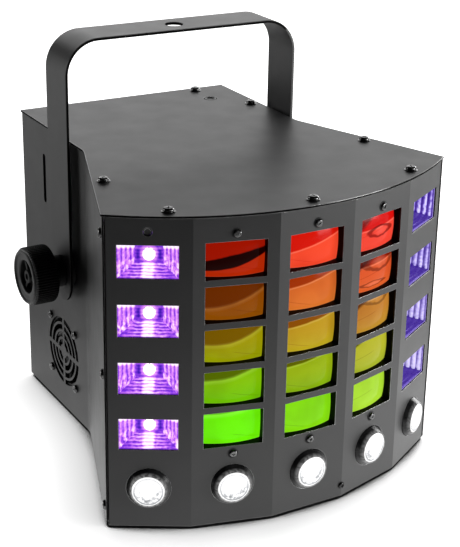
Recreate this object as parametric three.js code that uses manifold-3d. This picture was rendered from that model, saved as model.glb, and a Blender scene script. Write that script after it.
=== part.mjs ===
// A derby light: a sheet-steel housing whose front is folded in five facets, with ultraviolet windows,
// coloured lenses and strobe lamps, on a tilting bracket held by two clamp knobs.
// Millimetres. +Z is up and the front looks along -Y.
// The origin is the middle of the outer box, on the surface that the light stands on.

import * as THREE from "three";
import { mergeVertices } from "three/addons/utils/BufferGeometryUtils.js";
import Module from "manifold-3d";

const wasm = await Module();
wasm.setup();

// Driving dimensions of the housing
const body_height = 200;
const body_depth = 252.4;
const rear_width = 155.6;
const straight_depth = 103.1;
const facet_width = 50.5;
const facet_turn_degrees = 15;
const facet_count = 5;
const bend_radius = 24;
const sheet = 1.2;
const foot_height = 3;

// General fits
const clearance = 0.3;
const overrun = 3;
const screw_hole_radius = 1.6;

// Sheet-metal joints
const panel_gap = 0.4;
const flange_width = 12;
const return_flange = 10;
const wall_lip = 1;
const cover_thickness = 1.5;
const cover_side_overhang = 0.6;
const cover_front_overhang = 2.7;
const bend_steps = 4;
const cover_arc_steps = 16;

// Screws and marks on the cover, measured in from the rear wall and out from the middle
const cover_screw_inset = 6.3;
const cover_rear_screw_x = 53;
const cover_side_screw_from_rear = 54;
const cover_flare_screw_share = 0.52;
const cover_corner_screw_x = 83;
const cover_plug_x = 52.7;
const cover_plug_from_rear = 29.5;
const cover_plug_radius = 3;

// Screws down the front edge of each side panel
const edge_screw_inset = 5.5;
const edge_screw_end_gap = 11;

// Coloured lens windows, three columns of five
const derby_rows = 5;
const derby_bottom = 53.8;
const derby_top_margin = 17;
const derby_rib = 4.3;
const derby_width = 36;
const lens_depth = 7;
const lens_crown_radius = 50;
const lens_columns = 4;
const lens_rows = 3;

// Black frames that hold the lenses
const frame_depth = 9.2;
const frame_side = 4.5;
const frame_end = 9;
const frame_ledge = 1.6;
const frame_ledge_width = 2.5;
const frame_screw_inset = 5;

// Ultraviolet windows, one column of four at each end
const uv_rows = 4;
const uv_bottom = 53.6;
const uv_top_margin = 18.1;
const uv_rib = 16.1;
const uv_width = 34.7;
const reflector_depth = 12;
const reflector_back = 1.5;
const reflector_wall = 1.5;
const reflector_floor_width_share = 0.46;
const reflector_floor_height_share = 0.52;
const uv_led_radius = 3.8;
const board = 1.6;
const uv_board_width = 28;

// Strobe lamps, one at the foot of each facet
const strobe_height = 28;
const strobe_hole_radius = 13.2;
const strobe_flange_overlap = 1;
const strobe_flange = 1.5;
const strobe_collar_gap = 1.3;
const strobe_face_radius = 10;
const strobe_proud = 4.2;
const strobe_crown = 0.8;
const strobe_collar_proud = 1.4;
const strobe_skirt_radius = 8;
const strobe_skirt_depth = 6;
const strobe_well_radius = 4.5;
const strobe_well_depth = 3.5;
const strobe_led_radius = 3;
const strobe_led_height = 2;
const strobe_strip_height = 20;
const strobe_strip_end = 11;

// Microphone hole near the top of the left facet
const mic_radius = 2.6;
const mic_from_top = 10;

// Pivot of the bracket
const pivot_from_rear = 74.2;
const pivot_height = 110;
const bolt_radius = 4;
const washer_radius = 12;
const washer_thickness = 3.4;
const nut_radius = 8;
const nut_height = 6;
const bolt_reach_past_nut = 3;

// Bracket, a U of flat bar
const bracket_width = 31;
const bracket_thickness = 2;
const bracket_bend = 23;
const handle_room = 65;
const leg_below_pivot = 5;
const clamp_hole_radius = 6;
const bracket_bend_steps = 6;

// Clamp knobs
const hub_radius = 10.5;
const hub_length = 8;
const knob_radius = 19.3;
const knob_length = 17.6;
const knob_edge = 1.1;
const knob_recess_radius = 11.5;
const knob_recess_depth = 6;
const knob_boss_radius = 4.6;
const knob_boss_drop = 2;
const knob_rib = 2.4;
const knob_rib_drop = 3.2;
const knob_ribs = 3;
const knob_segments = 24;

// Fan behind the left side panel, and its grille
const fan_size = 50;
const fan_depth = 15;
const fan_from_rear = 61.4;
const fan_height = 44.5;
const fan_hole_spacing = 40;
const fan_wall = 1.5;
const grille_rings = 4;
const grille_slot = 3.2;
const grille_bar = 1.8;
const grille_disc_radius = 4.7;
const grille_spoke = 4;
const grille_spokes = 4;
const rotor_gap = 0.8;
const rotor_hub_radius = 11;
const rotor_depth = 10;
const rotor_blades = 7;
const blade_thickness = 1.2;
const blade_turn_degrees = 38;
const rotor_shaft_radius = 1.5;
const fan_strut = 4;
const fan_strut_depth = 2.5;
const fan_struts = 3;

// Upright vent slots on both side panels
const vent_slots = 5;
const vent_pitch = 10.5;
const vent_width = 4.2;
const vent_length = 34;
const vent_from_rear = 57.9;
const vent_from_top = 38;
const intake_height = 44.5;

// Derby engine inside
const engine_height = 118;
const engine_from_front = 66;
const wheel_radius = 42;
const wheel_thickness = 1.6;
const wheel_hub_radius = 5;
const wheel_hub_length = 6;
const wheel_window_radius = 8;
const wheel_window_circle = 28;
const wheel_windows = 8;
const led_disc_radius = 44;
const led_cone_radius = 7;
const led_cone_tip_radius = 3.5;
const led_cone_height = 6;
const wheel_to_cones = 4;
const sink_width = 100;
const sink_plate = 3;
const sink_top_gap = 22;
const sink_foot = 18;
const sink_fin = 2;
const sink_fin_depth = 20;
const sink_fin_pitch = 6.5;
const sink_fins_each_side = 4;
const sink_fin_bottom = 70;
const motor_radius = 15;
const motor_length = 20;
const motor_shaft_radius = 1.5;
const shaft_hole_radius = 4;

// Power supply on the base plate
const supply_width = 76;
const supply_depth = 66;
const supply_from_rear = 74;
const supply_standoff = 5;
const supply_standoff_radius = 3;
const transformer_size = 30;
const transformer_height = 26;
const capacitor_radius = 8;
const capacitor_height = 24;

// Fittings of the rear panel
const control_from_top = 46;
const control_width = 104;
const control_board_height = 56;
const control_depth = 12;
const standoff_radius = 3;
const standoff_inset = 6;
const display_width = 52;
const display_height = 21;
const display_above = 13;
const display_rim = 2;
const display_rim_thickness = 1;
const display_block_depth = 6;
const button_count = 4;
const button_pitch = 20;
const button_below = 17;
const button_radius = 3.8;
const button_proud = 1.3;
const button_flange = 1.2;
const button_flange_width = 1.2;
const button_travel = 0.8;
const switch_size = 6;
const switch_height = 3.5;

// Mains inlet with its fuse drawer
const inlet_height = 40;
const inlet_flange_width = 50;
const inlet_flange_height = 36;
const inlet_flange = 2;
const inlet_body_width = 30;
const inlet_body_height = 32;
const inlet_body_depth = 28;
const inlet_corner = 3;
const socket_width = 24.4;
const socket_height = 16.6;
const socket_depth = 16;
const socket_chamfer = 4;
const socket_below = 5.4;
const blade_width = 2;
const blade_height = 4;
const blade_spacing = 7;
const blade_raise = 2;
const pin_recess = 5.5;
const drawer_width = 21;
const drawer_height = 7;
const drawer_length = 18;
const drawer_above = 9.6;
const drawer_face = 1;
const drawer_face_border = 1.2;
const drawer_wall = 2;

// Round data sockets
const data_socket_spacing = 62;
const data_flange_width = 26;
const data_flange_height = 31;
const data_barrel_radius = 11.8;
const data_barrel_depth = 20;
const data_well_radius = 9.4;
const data_well_depth = 13;
const data_pin_radius = 1.2;
const data_pin_circle = 4.6;
const data_pins = 3;
const data_insert_radius = 7.2;
const data_contact_radius = 1.6;

// Rubber feet
const foot_radius = 8;
const foot_draft = 1.5;
const foot_inset = 20;
const foot_stud_radius = 2.5;
const base_hole_gap = 0.4;

// Sides of round pieces
const round_steps = 16;
const small_round_steps = 8;

// Places worked out from the driving dimensions
const facet_turn = THREE.MathUtils.degToRad(facet_turn_degrees);
const quarter_turn = Math.PI / 2;
const drawer_face_proud = clearance + inlet_flange + clearance + drawer_face;
const box_depth = body_depth + strobe_proud + strobe_crown + drawer_face_proud;
const rear_y = box_depth / 2 - drawer_face_proud;
const front_y = rear_y - body_depth;
const wall_bottom = foot_height - wall_lip;
const wall_top = body_height - cover_thickness - clearance;
const base_top = foot_height + sheet;
const pivot_y = rear_y - pivot_from_rear;
const edge_inset = sheet + panel_gap;

// Materials, in the colours of the photograph
function material(color, roughness, metalness, name) {
  return new THREE.MeshStandardMaterial({ color, roughness, metalness, name });
}
const black_steel = material(0x3a3b3d, 0.5, 0.4, "black_steel");
const black_plastic = material(0x1c1c1e, 0.45, 0, "black_plastic");
const rubber = material(0x141414, 0.85, 0, "rubber");
const chrome_plastic = material(0xa06fe0, 0.2, 0.6, "reflector");
const clear_plastic = material(0xf4f6ff, 0.1, 0, "clear_lens");
const circuit_board = material(0x1f5a35, 0.6, 0, "circuit_board");
const bare_aluminium = material(0xb4b6b8, 0.4, 0.9, "aluminium");
const plated_steel = material(0x9a9da0, 0.35, 0.9, "plated_steel");
const display_red = material(0x4a0d0d, 0.1, 0, "display_window");
const lens_colors = {
  red: 0xe02014,
  orange: 0xd8641c,
  amber: 0xc99a1e,
  lime: 0x9bd016,
  green: 0x46b41a,
};

// Solids from three.js geometry: only positions are kept, and shared corners are merged
function solid(geometry) {
  const bare = geometry.index ? geometry.toNonIndexed() : geometry.clone();
  bare.deleteAttribute("normal");
  bare.deleteAttribute("uv");
  const merged = mergeVertices(bare);
  const corners = merged.index.array;
  const triangles = [];
  for (let i = 0; i < corners.length; i += 3) {
    const [a, b, c] = corners.slice(i, i + 3);
    if (a !== b && b !== c && c !== a) triangles.push(a, b, c);
  }
  return new wasm.Manifold(
    new wasm.Mesh({
      numProp: 3,
      vertProperties: new Float32Array(merged.attributes.position.array),
      triVerts: new Uint32Array(triangles),
    }),
  );
}

function join(...solids) {
  return solids.reduce((whole, next) => whole.add(next));
}

function cut(base, ...tools) {
  return tools.reduce((left, tool) => left.subtract(tool), base);
}

function geometryOf(shape) {
  const mesh = shape.getMesh();
  const geometry = new THREE.BufferGeometry();
  geometry.setAttribute("position", new THREE.BufferAttribute(mesh.vertProperties, 3));
  geometry.setIndex(new THREE.BufferAttribute(mesh.triVerts, 1));
  geometry.computeVertexNormals();
  return geometry;
}

const light = new THREE.Group();
light.name = "derby_light";

function addPiece(name, shape, finish, place = new THREE.Matrix4()) {
  const mesh = new THREE.Mesh(geometryOf(shape), finish);
  mesh.name = name;
  mesh.applyMatrix4(place);
  light.add(mesh);
}

// Simple forms
function box(x_low, x_high, y_low, y_high, z_low, z_high) {
  const geometry = new THREE.BoxGeometry(x_high - x_low, y_high - y_low, z_high - z_low);
  return geometry.translate((x_low + x_high) / 2, (y_low + y_high) / 2, (z_low + z_high) / 2);
}

function centredBox(x, y, width, height, z_low, z_high) {
  return box(x - width / 2, x + width / 2, y - height / 2, y + height / 2, z_low, z_high);
}

function slab(points, z_low, z_high) {
  const geometry = new THREE.ExtrudeGeometry(new THREE.Shape(points), {
    depth: z_high - z_low,
    bevelEnabled: false,
  });
  return geometry.translate(0, 0, z_low);
}

// A profile of [radius, height] pairs, from the bottom up, turned about Z
function turned(profile, steps) {
  const points = profile.map(([radius, height]) => new THREE.Vector2(radius, height));
  return new THREE.LatheGeometry(points, steps).rotateX(quarter_turn);
}

function rod(radius, z_low, z_high, steps = small_round_steps) {
  return turned([[0, z_low], [radius, z_low], [radius, z_high], [0, z_high]], steps);
}

function tube(inner, outer, z_low, z_high, steps = round_steps) {
  const profile = [[inner, z_low], [outer, z_low], [outer, z_high], [inner, z_high], [inner, z_low]];
  return turned(profile, steps);
}

// A frame on a wall: its Z points out of the wall and its Y is up.
// Turn is the wall's turn about the vertical.
function wallPlace(x, y, z, turn) {
  const facing = new THREE.Euler(quarter_turn, 0, turn, "ZXY");
  const place = new THREE.Matrix4().makeRotationFromEuler(facing);
  return place.setPosition(x, y, z);
}

function at(geometry, place) {
  return solid(geometry.clone().applyMatrix4(place));
}

// Lines in the plan, drawn so that the inside of the housing is on their left
function leftNormal(from, to) {
  const along = to.clone().sub(from).normalize();
  return new THREE.Vector2(-along.y, along.x);
}

function offsetLine(points, distance, closed = false) {
  const last = points.length - 1;
  return points.map((point, i) => {
    const before = i > 0 ? points[i - 1] : closed ? points[last] : null;
    const after = i < last ? points[i + 1] : closed ? points[0] : null;
    const first = before ? leftNormal(before, point) : leftNormal(point, after);
    const second = after ? leftNormal(point, after) : first;
    const mitre = first.clone().add(second).divideScalar(1 + first.dot(second));
    return point.clone().addScaledVector(mitre, distance);
  });
}

function trimLine(points, amount) {
  const line = points.map((point) => point.clone());
  const end = line.length - 1;
  line[0].addScaledVector(line[1].clone().sub(line[0]).normalize(), amount);
  line[end].addScaledVector(line[end - 1].clone().sub(line[end]).normalize(), amount);
  return line;
}

function strip(points, from, to) {
  return [...offsetLine(points, from), ...offsetLine(points, to).reverse()];
}

// The points of a bend of the given radius in place of a sharp corner
function bend(before, corner, after, radius, steps) {
  const incoming = corner.clone().sub(before).normalize();
  const outgoing = after.clone().sub(corner).normalize();
  const turn = Math.atan2(incoming.cross(outgoing), incoming.dot(outgoing));
  const start = corner.clone().addScaledVector(incoming, -radius * Math.tan(Math.abs(turn) / 2));
  const spoke = leftNormal(before, corner).multiplyScalar(radius * Math.sign(turn));
  const centre = start.clone().add(spoke);
  const points = [];
  for (let i = 0; i <= steps; i++) {
    const arm = spoke.clone().negate().rotateAround(new THREE.Vector2(0, 0), (turn * i) / steps);
    points.push(centre.clone().add(arm));
  }
  return points;
}

// Plan of the housing
function facetFolds() {
  const folds = [new THREE.Vector2(facet_width / 2, front_y)];
  for (let i = 1; i <= (facet_count - 1) / 2; i++) {
    const along = new THREE.Vector2(Math.cos(i * facet_turn), Math.sin(i * facet_turn));
    folds.push(folds[i - 1].clone().addScaledVector(along, facet_width));
  }
  const mirrored = folds.map((fold) => new THREE.Vector2(-fold.x, fold.y)).reverse();
  return [...mirrored, ...folds];
}

const front_line = facetFolds();
const front_corner = front_line[front_line.length - 1];
const side_kink = new THREE.Vector2(rear_width / 2, rear_y - straight_depth);
const rear_corner = new THREE.Vector2(rear_width / 2, rear_y);
const right_line = [
  front_corner,
  ...bend(front_corner, side_kink, rear_corner, bend_radius, bend_steps),
  rear_corner,
];
const left_line = right_line.map((point) => new THREE.Vector2(-point.x, point.y)).reverse();
const outline = [...front_line, ...right_line.slice(1), ...left_line.slice(0, -1)];

// One frame on the middle of each facet, at floor height, and one on the rear wall
const facet_places = [];
for (let i = 0; i < facet_count; i++) {
  const middle = front_line[i].clone().add(front_line[i + 1]).divideScalar(2);
  facet_places.push(wallPlace(middle.x, middle.y, 0, (i - (facet_count - 1) / 2) * facet_turn));
}
const rear_place = wallPlace(0, rear_y, 0, 2 * quarter_turn);

function sidePlace(side, y, z) {
  return wallPlace((side * rear_width) / 2, y, z, side * quarter_turn);
}

function lifted(place, x, y, z = 0) {
  return place.clone().multiply(new THREE.Matrix4().makeTranslation(x, y, z));
}

// Rows of windows, as [bottom, top] heights
function windowRows(count, bottom, top_margin, rib) {
  const pitch = (body_height - top_margin - bottom + rib) / count;
  const rows = [];
  for (let i = 0; i < count; i++) rows.push([bottom + i * pitch, bottom + (i + 1) * pitch - rib]);
  return rows;
}

const derby_windows = windowRows(derby_rows, derby_bottom, derby_top_margin, derby_rib);
const uv_windows = windowRows(uv_rows, uv_bottom, uv_top_margin, uv_rib);
const derby_top = derby_windows[derby_rows - 1][1];
const derby_height = derby_windows[0][1] - derby_windows[0][0];
const uv_height = uv_windows[0][1] - uv_windows[0][0];

// Flanges that stand in from a wall, under the cover and above the base plate
function flanges(line) {
  const top = slab(strip(line, 0, flange_width), wall_top - sheet, wall_top);
  const bottom = slab(strip(line, 0, flange_width), base_top + clearance, base_top + clearance + sheet);
  return [solid(top), solid(bottom)];
}

// Room that each wall's flanges leave to their neighbours
const front_room = solid(
  slab(strip(trimLine(front_line, edge_inset - clearance), -overrun, sheet + clearance), 0, body_height),
);
const rear_room = solid(
  box(
    sheet - rear_width / 2,
    rear_width / 2 - sheet,
    rear_y - sheet - clearance,
    rear_y + overrun,
    0,
    body_height,
  ),
);
const side_rooms = [left_line, right_line].map((line) =>
  solid(slab(strip(line, -overrun, flange_width + clearance), 0, body_height)),
);

// Heights of the screws down each side panel's front edge
const edge_screw_heights = [
  wall_bottom + edge_screw_end_gap,
  (wall_bottom + wall_top) / 2,
  wall_top - edge_screw_end_gap,
];
const flare_along = right_line[1].clone().sub(front_corner).normalize();
const flare_turn = Math.atan2(-flare_along.x, flare_along.y);

function edgeScrewPlace(side, height) {
  const point = front_corner.clone().addScaledVector(flare_along, edge_screw_inset);
  return wallPlace(side * point.x, point.y, height, side * (quarter_turn + flare_turn));
}

// A round-ended upright slot
function slotPoints(x, y, width, length) {
  const points = [];
  const radius = width / 2;
  for (const [end, start] of [[1, 0], [-1, Math.PI]]) {
    for (let i = 0; i <= small_round_steps / 2; i++) {
      const angle = start + (i * Math.PI) / (small_round_steps / 2);
      const centre = y + end * (length / 2 - radius);
      points.push(new THREE.Vector2(x + radius * Math.cos(angle), centre + radius * Math.sin(angle)));
    }
  }
  return points;
}

function ventTools(place) {
  const tools = [];
  for (let i = 0; i < vent_slots; i++) {
    const x = (i - (vent_slots - 1) / 2) * vent_pitch;
    tools.push(at(slab(slotPoints(x, 0, vent_width, vent_length), -overrun, overrun), place));
  }
  return tools;
}

// Ring slots of the fan grille, cut into arcs by the spokes
function grilleTools(place) {
  const tools = [];
  for (let ring = 0; ring < grille_rings; ring++) {
    const inner = grille_disc_radius + ring * (grille_slot + grille_bar);
    const outer = inner + grille_slot;
    const steps = ring + 2;
    for (let arc = 0; arc < grille_spokes; arc++) {
      const arc_turn = (2 * Math.PI) / grille_spokes;
      const points = [];
      for (const [radius, forward] of [[outer, true], [inner, false]]) {
        const spoke_angle = Math.asin(grille_spoke / 2 / radius);
        for (let i = 0; i <= steps; i++) {
          const share = forward ? i / steps : 1 - i / steps;
          const sweep = arc_turn - 2 * spoke_angle;
          const angle = arc * arc_turn + spoke_angle + share * sweep;
          points.push(new THREE.Vector2(radius * Math.cos(angle), radius * Math.sin(angle)));
        }
      }
      tools.push(at(slab(points, -overrun, overrun), place));
    }
  }
  return tools;
}

function fanCorners() {
  const half = fan_hole_spacing / 2;
  return [[-half, -half], [half, -half], [half, half], [-half, half]];
}

function sidePanel(side) {
  const line = side > 0 ? right_line : left_line;
  const pivot = sidePlace(side, pivot_y, pivot_height);
  const low_place = sidePlace(side, rear_y - fan_from_rear, side > 0 ? intake_height : fan_height);
  const vent_place = sidePlace(side, rear_y - vent_from_rear, body_height - vent_from_top);
  const wall = solid(slab(strip(line, 0, sheet), wall_bottom, wall_top));
  const folded = flanges(line).map((flange) => cut(flange, front_room, rear_room));
  const nut = at(rod(nut_radius, -sheet - nut_height, -sheet / 2, round_steps), pivot);
  const bolt_low = -sheet - nut_height - overrun;
  const bolt_hole = rod(bolt_radius + clearance, bolt_low, overrun, round_steps);
  const tools = [at(bolt_hole, pivot), ...ventTools(vent_place)];
  for (const height of edge_screw_heights) {
    tools.push(at(rod(screw_hole_radius, -overrun, overrun), edgeScrewPlace(side, height)));
  }
  if (side < 0) {
    tools.push(...grilleTools(low_place));
    for (const [x, y] of fanCorners()) {
      tools.push(at(rod(screw_hole_radius, -overrun, overrun), lifted(low_place, x, y)));
    }
  } else {
    tools.push(...ventTools(low_place));
  }
  return cut(join(wall, ...folded, nut), ...tools);
}

addPiece("left_side_panel", sidePanel(-1), black_steel);
addPiece("right_side_panel", sidePanel(1), black_steel);

// Front panel: five facets in one sheet, with its windows and its flanges
function windowTools() {
  const tools = [];
  facet_places.forEach((place, i) => {
    const outer = i === 0 || i === facet_count - 1;
    const width = outer ? uv_width : derby_width;
    for (const [bottom, top] of outer ? uv_windows : derby_windows) {
      tools.push(at(box(-width / 2, width / 2, bottom, top, -overrun, overrun), place));
    }
    const lamp = rod(strobe_hole_radius, -overrun, overrun, round_steps);
    tools.push(at(lamp, lifted(place, 0, strobe_height)));
    if (outer) return;
    for (const height of [derby_bottom - frame_screw_inset, derby_top + frame_screw_inset]) {
      tools.push(at(rod(screw_hole_radius, -overrun, overrun), lifted(place, 0, height)));
    }
  });
  const mic_place = lifted(facet_places[0], 0, body_height - mic_from_top);
  tools.push(at(rod(mic_radius, -overrun, overrun), mic_place));
  return tools;
}

function frontPanel() {
  const wall = solid(slab(strip(trimLine(front_line, edge_inset), 0, sheet), wall_bottom, wall_top));
  const folded = flanges(front_line).map((flange) => cut(flange, ...side_rooms));
  const returns = [-1, 1].map((side) => {
    const line = offsetLine(right_line, edge_inset).slice(0, 1);
    line.push(line[0].clone().addScaledVector(flare_along, return_flange));
    const placed = side > 0 ? line : line.map((p) => new THREE.Vector2(-p.x, p.y)).reverse();
    const low = base_top + clearance + sheet + clearance;
    return solid(slab(strip(placed, 0, sheet), low, wall_top - sheet - clearance));
  });
  const screws = [];
  for (const side of [-1, 1]) {
    for (const height of edge_screw_heights) {
      const hole = rod(screw_hole_radius, -overrun - sheet, overrun);
      screws.push(at(hole, edgeScrewPlace(side, height)));
    }
  }
  return cut(join(wall, ...folded, ...returns), ...windowTools(), ...screws);
}

addPiece("front_panel", frontPanel(), black_steel);

// Base plate, with a hole for each foot's stud
const foot_places = [];
for (const side of [-1, 1]) {
  const front_x = front_corner.x - foot_inset;
  const rear_x = rear_width / 2 - foot_inset;
  const name = side < 0 ? "left" : "right";
  foot_places.push([`foot_front_${name}`, side * front_x, front_corner.y + foot_inset / 2]);
  foot_places.push([`foot_rear_${name}`, side * rear_x, rear_y - foot_inset]);
}

function basePlate() {
  const plate = solid(slab(offsetLine(outline, sheet + clearance, true), foot_height, base_top));
  const holes = foot_places.map(([, x, y]) => {
    const hole = rod(foot_stud_radius + base_hole_gap, 0, base_top + overrun);
    return solid(hole.translate(x, y, 0));
  });
  return cut(plate, ...holes);
}

addPiece("base_plate", basePlate(), black_steel);

function foot() {
  const top = foot_height - clearance;
  return solid(
    turned(
      [
        [0, 0],
        [foot_radius - foot_draft, 0],
        [foot_radius, top],
        [foot_stud_radius, top],
        [foot_stud_radius, base_top + sheet],
        [0, base_top + sheet],
      ],
      small_round_steps,
    ),
  );
}

for (const [name, x, y] of foot_places) {
  addPiece(name, foot(), rubber, new THREE.Matrix4().makeTranslation(x, y, 0));
}

// Cover: follows the walls at the sides and the rear, and runs in one arc over the folds of the front
function coverOutline() {
  const right = offsetLine(right_line, -cover_side_overhang);
  const corner = right[0];
  right[right.length - 1].y += cover_side_overhang;
  const rise = corner.y - (front_y - cover_front_overhang);
  const radius = (corner.x ** 2 + rise ** 2) / (2 * rise);
  const centre_y = corner.y - rise + radius;
  const half_angle = Math.atan2(corner.x, centre_y - corner.y);
  const front = [];
  for (let i = 1; i < cover_arc_steps; i++) {
    const angle = half_angle * ((2 * i) / cover_arc_steps - 1);
    const point = new THREE.Vector2(radius * Math.sin(angle), centre_y - radius * Math.cos(angle));
    front.push(point);
  }
  const left = right.map((point) => new THREE.Vector2(-point.x, point.y)).reverse();
  return [...front, ...right, ...left];
}

function coverScrews() {
  const flare = front_corner.clone().sub(side_kink).multiplyScalar(cover_flare_screw_share);
  const flare_point = side_kink.clone().add(flare);
  const flare_screw = flare_point.addScaledVector(leftNormal(front_corner, side_kink), cover_screw_inset);
  const fold = front_line[facet_count - 1];
  const slope = Math.tan(((facet_count - 1) / 2) * facet_turn);
  const inset_rise = cover_screw_inset / Math.cos(((facet_count - 1) / 2) * facet_turn);
  const corner_screw_y = fold.y + (cover_corner_screw_x - fold.x) * slope + inset_rise;
  const right = [
    [cover_rear_screw_x, rear_y - cover_screw_inset],
    [rear_width / 2 - cover_screw_inset, rear_y - cover_side_screw_from_rear],
    [flare_screw.x, flare_screw.y],
    [cover_corner_screw_x, corner_screw_y],
  ];
  return [...right, ...right.map(([x, y]) => [-x, y]), [0, front_y + cover_screw_inset]];
}

function cover() {
  const plate = solid(slab(coverOutline(), body_height - cover_thickness, body_height));
  const low = body_height - cover_thickness - overrun;
  const holes = coverScrews().map(([x, y]) =>
    solid(rod(screw_hole_radius, low, body_height + overrun).translate(x, y, 0)),
  );
  const plug = rod(cover_plug_radius, low, body_height + overrun);
  holes.push(solid(plug.translate(cover_plug_x, rear_y - cover_plug_from_rear, 0)));
  return cut(plate, ...holes);
}

addPiece("top_cover", cover(), black_steel);

// Places of the rear fittings, seen from behind: x to the right, y up.
// The data sockets sit halfway between the mains inlet and the control board.
const control_height = body_height - control_from_top;
const inlet_top = inlet_height + inlet_flange_height / 2;
const socket_row_height = (inlet_top + control_height - control_board_height / 2) / 2;
const control_place = lifted(rear_place, 0, control_height);
const display_place = lifted(control_place, 0, display_above);
const inlet_place = lifted(rear_place, 0, inlet_height);
const button_places = [];
for (let i = 0; i < button_count; i++) {
  const x = (i - (button_count - 1) / 2) * button_pitch;
  button_places.push(lifted(control_place, x, -button_below));
}
const data_places = [-1, 1].map((side) =>
  lifted(rear_place, (side * data_socket_spacing) / 2, socket_row_height),
);

function rearPanel() {
  const half = rear_width / 2 - sheet - clearance;
  const flange_half = rear_width / 2 - flange_width - clearance;
  const inner = rear_y - flange_width;
  const wall = solid(box(-half, half, rear_y - sheet, rear_y, wall_bottom, wall_top));
  const top = solid(box(-flange_half, flange_half, inner, rear_y, wall_top - sheet, wall_top));
  const low = base_top + clearance;
  const bottom = solid(box(-flange_half, flange_half, inner, rear_y, low, low + sheet));
  const gap = 2 * clearance;
  const through = [-overrun, overrun];
  const tools = [
    at(centredBox(0, 0, display_width + gap, display_height + gap, ...through), display_place),
    at(centredBox(0, 0, inlet_body_width + gap, inlet_body_height + gap, ...through), inlet_place),
    ...button_places.map((place) => at(rod(button_radius + clearance, ...through), place)),
    ...data_places.map((place) =>
      at(rod(data_barrel_radius + clearance, ...through, round_steps), place),
    ),
  ];
  return cut(join(wall, top, bottom), ...tools);
}

addPiece("rear_panel", rearPanel(), black_steel);

// One lens of a coloured window: flat sides and back, and a crowned front
function derbyLens() {
  const geometry = new THREE.BoxGeometry(
    derby_width,
    derby_height,
    lens_depth,
    lens_columns,
    lens_rows,
  );
  const place = geometry.attributes.position;
  for (let i = 0; i < place.count; i++) {
    if (place.getZ(i) < 0) continue;
    const reach = place.getX(i) ** 2 + place.getY(i) ** 2;
    place.setZ(i, lens_depth / 2 - reach / (2 * lens_crown_radius));
  }
  return solid(geometry);
}

// A frame that carries the five lenses of one column
function lensFrame() {
  const back = -sheet - clearance - frame_depth;
  const half = derby_width / 2 + frame_side;
  const low = derby_bottom - frame_end;
  const body = solid(box(-half, half, low, derby_top + frame_end, back, -sheet - clearance));
  const tools = [];
  for (const [bottom, top] of derby_windows) {
    const x = derby_width / 2 + clearance;
    const seat = back + frame_ledge;
    tools.push(solid(box(-x, x, bottom - clearance, top + clearance, seat, overrun)));
    const ledge = frame_ledge_width;
    const opening = box(-x + ledge, x - ledge, bottom + ledge, top - ledge, back - overrun, overrun);
    tools.push(solid(opening));
  }
  for (const height of [derby_bottom - frame_screw_inset, derby_top + frame_screw_inset]) {
    const hole = rod(screw_hole_radius, back - overrun, overrun);
    tools.push(solid(hole.translate(0, height, 0)));
  }
  return cut(body, ...tools);
}

// Each lens seats on its frame's ledge, so its place follows from the frame's depth
const lens_seat = -sheet - clearance - frame_depth + frame_ledge;
const lens_middle = lens_seat + clearance + lens_depth / 2;
const column_names = ["left", "middle", "right"];
const lens_names = Object.keys(lens_colors);
column_names.forEach((column, i) => {
  const place = facet_places[i + 1];
  addPiece(`lens_frame_${column}`, lensFrame(), black_plastic, place);
  lens_names.forEach((color, row) => {
    const [bottom, top] = derby_windows[derby_rows - 1 - row];
    const finish = material(lens_colors[color], 0.15, 0, `lens_${color}`);
    const middle = lifted(place, 0, (bottom + top) / 2, lens_middle);
    addPiece(`derby_lens_${column}_${color}`, derbyLens(), finish, middle);
  });
});

// A tapered well between two rectangles that share a centre line
function taperedWell(width, height, floor_width, floor_height, z_low, z_high) {
  const geometry = new THREE.BoxGeometry(1, 1, 1);
  const place = geometry.attributes.position;
  for (let i = 0; i < place.count; i++) {
    const high = place.getZ(i) > 0;
    const x = place.getX(i) * (high ? width : floor_width);
    const y = place.getY(i) * (high ? height : floor_height);
    place.setXYZ(i, x, y, high ? z_high : z_low);
  }
  return geometry;
}

function uvReflector() {
  const front = -sheet - clearance;
  const floor = front - reflector_depth;
  const back = floor - reflector_back;
  const half = uv_width / 2 + reflector_wall;
  const low = uv_bottom - uv_rib / 2;
  const high = uv_windows[uv_rows - 1][1] + uv_rib / 2;
  const body = solid(box(-half, half, low, high, back, front));
  const tools = [];
  for (const [bottom, top] of uv_windows) {
    const middle = (bottom + top) / 2;
    const well = taperedWell(
      uv_width,
      uv_height,
      uv_width * reflector_floor_width_share,
      uv_height * reflector_floor_height_share,
      floor,
      front,
    );
    const mouth = box(-uv_width / 2, uv_width / 2, bottom, top, front, front + overrun);
    tools.push(solid(well.translate(0, middle, 0)), solid(mouth));
    const hole = rod(uv_led_radius + clearance, back - overrun, floor + overrun);
    tools.push(solid(hole.translate(0, middle, 0)));
  }
  return cut(body, ...tools);
}

// A domed LED on a round base
function led(radius, z_base, height) {
  const dome = [];
  for (let i = 1; i <= 3; i++) {
    const angle = (i * quarter_turn) / 3;
    const profile_radius = i < 3 ? radius * Math.cos(angle) : 0;
    dome.push([profile_radius, z_base + height - radius + radius * Math.sin(angle)]);
  }
  const shoulder = z_base + height - radius;
  return turned([[0, z_base], [radius, z_base], [radius, shoulder], ...dome], small_round_steps);
}

function uvLedBoard() {
  const back = -sheet - clearance - reflector_depth - reflector_back - clearance;
  const low = uv_bottom - uv_rib / 4;
  const high = uv_windows[uv_rows - 1][1] + uv_rib / 4;
  const half = uv_board_width / 2;
  const plate = solid(box(-half, half, low, high, back - board, back));
  const leds = uv_windows.map(([bottom, top]) => {
    const height = board / 2 + clearance + reflector_back + uv_led_radius;
    return solid(led(uv_led_radius, back - board / 2, height).translate(0, (bottom + top) / 2, 0));
  });
  return join(plate, ...leds);
}

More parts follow.
